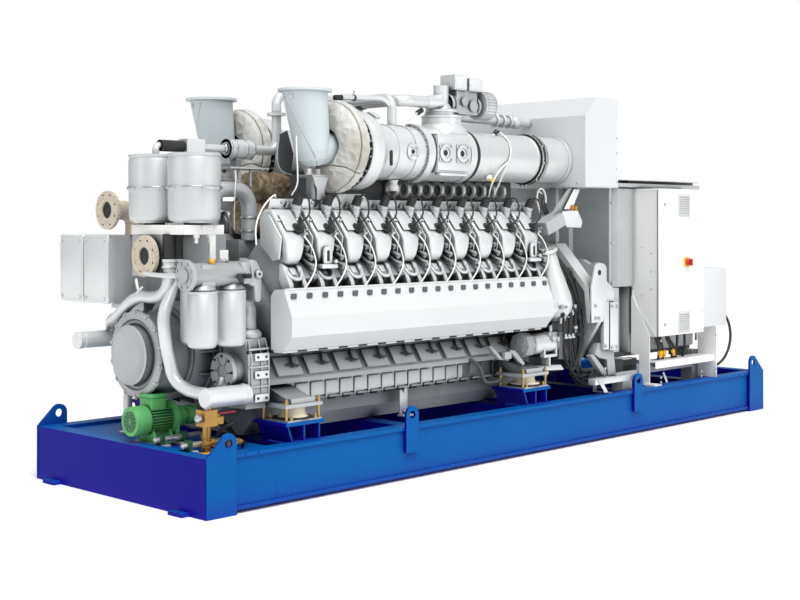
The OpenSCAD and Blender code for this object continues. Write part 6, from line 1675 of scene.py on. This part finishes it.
finishPiece(bothSides([addRod((0.652, plateY - 0.0008, 1.196), (0.652, plateY + 0.004, 1.196), 0.02, 28),
                       addBlock((0.77, plateY - 0.001, 0.64), (0.78, plateY + 0.014, 0.972), 0)]),
            "mounting_shades", "blackenedSteelAndShade")
plateBolts = []
for x, z in ((0.6, 0.87), (0.64, 0.87), (0.6, 0.96), (0.8, 0.65), (0.86, 0.65), (0.72, 0.665), (0.8, 0.95),
             (0.86, 0.95)):
    plateBolts.append(addRod((x, plateY - 0.002, z), (x, plateY - 0.012, z), 0.011, 6))
finishPiece(bothSides(plateBolts), "mounting_bolts", "brightZinc")

# foot castings, the cable rail on the skid, the black cable box and the sump pipe
feet = [addOutline([(x, -0.755, z) for x, z in [(0.64, 0.61), (0.69, 0.69), (0.865, 0.64), (0.875, 0.6),
                                                (0.9, 0.44), (0.8, 0.44), (0.79, 0.56), (0.69, 0.58)]],
                   (0, 0.07, 0), 0.008),
        addOutline([(x, -0.745, z) for x, z in [(0.6, 0.6), (0.64, 0.612), (0.82, 0.452), (0.76, 0.44)]],
                   (0, 0.05, 0), 0.006)]
finishPiece(bothSides(feet), "foot_castings", "castEnamel")
rail = [addBlock((0.58, -0.8, 0.395), (1.13, -0.735, 0.438), 0.004),
        addOutline([(x, -0.802, z) for x, z in [(0.606, 0.43), (0.65, 0.43), (0.73, 0.334), (0.686, 0.334)]],
                   (0, -0.003, 0), 0.001)]
for x in (0.64, 0.76, 0.88, 1.0):
    rail.append(addRod((x, -0.768, 0.438), (x, -0.768, 0.446), 0.01, 6))
finishPiece(rail, "cable_rail", "sheetSteel")
finishPiece([addBlock((1.005, -0.64, 0.432), (1.335, -0.56, 0.528), 0.004)], "cable_box", "blackNylon")
lowPipe = [addTube([(-0.5, -0.56, 0.64), (-0.47, -0.6, 0.61), (-0.44, -0.61, 0.56), (-0.41, -0.61, 0.5),
                    (-0.36, -0.605, 0.482), (-0.3, -0.6, 0.48), (-0.235, -0.6, 0.482)], 0.012, 14)]
finishPiece(lowPipe, "sump_pipe", "darkEnamelAndShade")

# junction box lid
lid = [addOutline([(x, -0.662, z) for x, z in [(0.376, 1.632), (0.56, 1.64), (0.616, 1.56), (0.6, 1.516),
                                               (0.43, 1.52)]], (0, 0.01, 0), 0.006)]
finishPiece(lid, "junction_lid", "greyPowderCoat")

# generator frame: flank ribs, top rail and bolts
ribParts = []
for x in (1.03, 1.64, 2.23):
    ribParts.append(addBlock((x - 0.012, -0.612, 0.6), (x + 0.012, -0.598, 1.84), 0.004))
ribParts.append(addBlock((1.0, -0.614, 1.82), (2.27, -0.59, 1.85), 0.004))
for z in (1.1, 1.4, 1.7):
    for x in (1.05, 2.21):
        ribParts.append(addRod((x, -0.612, z), (x, -0.622, z), 0.013, 6))
finishPiece(bothSides(ribParts), "generator_ribs", "frameEnamel")

# flat lid along the top of the generator
topSeam = [addBlock((1.0, -0.604, 1.872), (2.272, 0.604, 1.8795), 0.002)]
finishPiece(topSeam, "generator_lid", "coverEnamel")

# air hood: screws down its corner and along its foot, and the fold at its foot
hood = {"x0": 0.55, "x1": 0.95, "y": -0.735}
hoodScrews = []
for z in (1.85, 1.95, 2.06, 2.17):
    hoodScrews.append(addRod((hood["x1"] - 0.02, hood["y"] - 0.0004, z),
                             (hood["x1"] - 0.02, hood["y"] - 0.005, z), 0.006, 12, bevel=0.001))
for y in (-0.66, -0.4, -0.15, 0.15, 0.4, 0.66):
    hoodScrews.append(addRod((hood["x0"] - 0.0004, y, 1.835), (hood["x0"] - 0.005, y, 1.835), 0.006, 12,
                             bevel=0.001))
finishPiece(hoodScrews, "hood_screws", "brightZinc")
finishPiece([addBlock((hood["x0"] - 0.004, -0.7385, 1.806), (hood["x1"] + 0.002, 0.7385, 1.814), 0.002)],
            "hood_fold", "coverEnamel")

# cabinet: door locks and louvres, rivets, frame trim, mount flank, door seam, leg bolts and cable glands
cabinet = {"x0": 1.37, "x1": 2.001, "doorY": -0.82, "low": 0.695, "high": 1.8, "slats": 9}
dx0, dx1, dy = cabinet["x0"], cabinet["x1"], cabinet["doorY"]
doorTrim = [addTurned([(0, 0), (0.012, 0), (0.014, 0.002), (0.014, 0.005), (0.009, 0.008), (0, 0.008)],
                      (1.44, dy, z), (0, -1, 0), 24) for z in (1.69, 0.78)]
finishPiece(doorTrim, "door_locks", "brightZinc", body="door")
louvres = []
for x0, x1, z0, z1 in ((1.63, 1.79, 1.6, 1.77), (1.63, 1.79, 0.71, 0.87)):
    louvres.append(addBlock((x0, dy - 0.004, z0), (x1, dy + 0.001, z1), 0.002))
    for k in range(cabinet["slats"]):
        z = z0 + 0.014 + (z1 - z0 - 0.028) * k / (cabinet["slats"] - 1)
        louvres.append(addOutline([(x0 + 0.012, dy - 0.004, z - 0.005), (x0 + 0.012, dy - 0.01, z - 0.004),
                                   (x0 + 0.012, dy - 0.004, z + 0.006)], (x1 - x0 - 0.024, 0, 0), 0.0005))
finishPiece(louvres, "door_louvres", "ductEnamel", body="door")
rivets = []
for y, z in ((-0.584, 1.319), (-0.745, 1.319), (-0.584, 1.181), (-0.745, 1.181), (-0.584, 1.049),
             (-0.745, 1.049), (-0.665, 1.363), (-0.665, 1.0)):
    rivets.append(addRod((dx0 - 0.0002, y, z), (dx0 - 0.003, y, z), 0.0055, 10, bevel=0.001))
for x in (1.42, 1.6, 1.78, 1.96):
    rivets.append(addRod((x, -0.8, 1.8005), (x, -0.8, 1.803), 0.0045, 10, bevel=0.001))
finishPiece(rivets, "cabinet_rivets", "brightZinc")
frameTrim = [addBlock((dx0 - 0.003, -0.8185, cabinet["low"]), (dx0 + 0.001, -0.802, cabinet["high"]), 0.001),
             addBlock((dx0 - 0.003, -0.586, cabinet["low"]), (dx0 + 0.001, -0.571, cabinet["high"]), 0.001),
             addBlock((dx0 - 0.006, -0.8185, cabinet["high"] - 0.002),
                      (dx1 + 0.006, -0.566, cabinet["high"] + 0.01), 0.002)]
finishPiece(frameTrim, "cabinet_frame_trim", "whitePowderCoat")
finishPiece([addOutline([(dx0 - 0.0045, y, z) for y, z in [(-0.566, 0.985), (-0.566, 0.69), (-0.795, 0.69)]],
                        (0.004, 0, 0), 0)], "cabinet_mount_flank", "greyPowderCoat")
finishPiece([addBlock((dx0 - 0.0045, -0.805, cabinet["low"]), (dx0 - 0.0035, -0.8, cabinet["high"]), 0)],
            "door_seam", "darkEnamelAndShade")
legBolts = [addOutline([(x, -0.812, z) for x, z in [(1.42, 0.42), (1.438, 0.425), (1.49, 0.345),
                                                    (1.468, 0.338)]], (0, -0.004, 0), 0.001)]
for x in (1.395, 1.965, 2.18):
    for z in (0.35, 0.385, 0.66):
        legBolts.append(addRod((x, -0.811, z), (x, -0.819, z), 0.009, 6))
finishPiece(legBolts, "cabinet_leg_bolts", "brightZinc")
# leads out of the cabinet floor: where each leaves it, and how far it leans along the set
tailCables = {"radius": 0.01, "glands": 4, "tops": [
    (1.5, 0.03), (1.525, 0.012), (1.55, 0.04), (1.63, 0.09), (1.655, 0.12), (1.8, -0.04), (1.9, -0.02)]}
glands = []
for k, (x, lean) in enumerate(tailCables["tops"]):
    makeCord("tail_cable_%d" % (k + 1), {"radius": tailCables["radius"], "stiffness": "medium", "route": [
        (x, -0.7, 0.694), (x + lean * 0.2, -0.706, 0.65), (x + lean * 0.7, -0.712, 0.58),
        (x + lean, -0.702, 0.51), (x + lean * 1.4, -0.658, 0.445)]})
    if k < tailCables["glands"]:
        place = (x + lean * 0.75, -0.722, 0.572)
        glands.append(addTurned([(0, 0), (0.013, 0), (0.017, 0.004), (0.017, 0.026), (0.013, 0.03),
                                 (0.012, 0.052), (0, 0.052)], place, (lean, 0, -0.2), 14))
finishPiece(glands, "cable_glands", "yellowPlastic")
boxEdge = [addBlock((2.008, -0.8035, 0.728), (2.362, -0.797, 1.192), 0.003)]
for x in (2.03, 2.34):
    for z in (0.755, 1.165):
        boxEdge.append(addRod((x, -0.8035, z), (x, -0.808, z), 0.007, 12, bevel=0.001))
finishPiece(boxEdge, "side_box_lid", "greyPowderCoat")
print("generator end and cabinet detail made")

# rubber edge of the coupling guard, a hoop just outside the flywheel housing
finishPiece(bothSides([addTube([(0.27, -0.655, 1.345), (0.3, -0.66, 1.317), (0.37, -0.66, 1.255),
                                (0.432, -0.66, 1.191), (0.49, -0.66, 1.112), (0.535, -0.66, 1.024),
                                (0.57, -0.66, 0.925), (0.587, -0.66, 0.815), (0.588, -0.66, 0.71),
                                (0.57, -0.66, 0.61), (0.53, -0.66, 0.54), (0.468, -0.66, 0.476)], 0.013,
                               12)]), "coupling_guard_edge", "blackRubber")


lightSettings = {"floor": "#FCFCFB", "backdrop": "#FFFFFF", "sky": 0.62, "keyPower": 195, "fillPower": 84,
                 "endPower": 40, "sunStrength": 2.2}


def addAreaLight(name, place, target, size, power):
    bpy.ops.object.light_add(type="AREA", location=place)
    light = bpy.context.object
    light.name = name
    light.rotation_euler = (Vector(target) - Vector(place)).to_track_quat("-Z", "Y").to_euler()
    light.data.shape = "RECTANGLE"
    light.data.size, light.data.size_y = size
    light.data.energy = power
    return light


clearSelection()
addAreaLight("key", (-5.5, -7.5, 6.5), (0, 0, 1.0), (7, 4), lightSettings["keyPower"])
addAreaLight("fill", (2.5, -9.0, 3.0), (0.5, 0, 1.0), (6, 4), lightSettings["fillPower"])
addAreaLight("end", (-9.0, 1.5, 4.0), (-2.0, 0, 1.2), (4, 4), lightSettings["endPower"])

clearSelection()
bpy.ops.object.light_add(type="SUN", location=(0, 0, 8), rotation=(math.radians(24), math.radians(-10), 0))
sun = bpy.context.object
sun.name = "sun"
sun.data.energy = lightSettings["sunStrength"]
sun.data.angle = math.radians(30)

clearSelection()
bpy.ops.mesh.primitive_plane_add(size=80, location=(0, 0, -0.0005))
floor = bpy.context.object
floor.name = "floor"
floorMaterial, tree = newMaterial("floorPaint")
coords = addNode(tree, "ShaderNodeTexCoord").outputs["Object"]
speckle = addNode(tree, "ShaderNodeTexNoise", {"Vector": coords, "Scale": 60.0})
bump = addNode(tree, "ShaderNodeBump", {"Height": speckle.outputs["Fac"], "Strength": 0.02,
                                        "Distance": 0.001})
closeMaterial(tree, linearColour(lightSettings["floor"]), 0.7, bump.outputs[0])
floor.data.materials.append(floorMaterial)

world = bpy.data.worlds.new("world")
bpy.context.scene.world = world
world.use_nodes = True
tree = world.node_tree
tree.nodes.clear()
rays = addNode(tree, "ShaderNodeLightPath")
seen = addNode(tree, "ShaderNodeMath", {0: rays.outputs["Is Camera Ray"],
                                        1: rays.outputs["Is Transmission Ray"]}, operation="MAXIMUM")
coords = addNode(tree, "ShaderNodeTexCoord").outputs["Generated"]
height = addNode(tree, "ShaderNodeSeparateXYZ", {"Vector": coords})
sky = addNode(tree, "ShaderNodeValToRGB", {"Fac": height.outputs["Z"]})
sky.color_ramp.elements[0].color = linearColour("#C9CCCE")
sky.color_ramp.elements[0].position = 0.0
sky.color_ramp.elements[1].color = linearColour("#FFFFFF")
sky.color_ramp.elements[1].position = 0.7
around = addNode(tree, "ShaderNodeBackground", {"Color": sky.outputs["Color"],
                                                "Strength": lightSettings["sky"]})
behind = addNode(tree, "ShaderNodeBackground", {"Color": linearColour(lightSettings["backdrop"]),
                                                "Strength": 1.0})
both = addNode(tree, "ShaderNodeMixShader", {"Fac": seen.outputs[0]})
tree.links.new(around.outputs[0], both.inputs[1])
tree.links.new(behind.outputs[0], both.inputs[2])
addNode(tree, "ShaderNodeOutputWorld", {"Surface": both.outputs[0]})
bpy.context.scene.view_settings.view_transform = "Standard"
print("stage set")
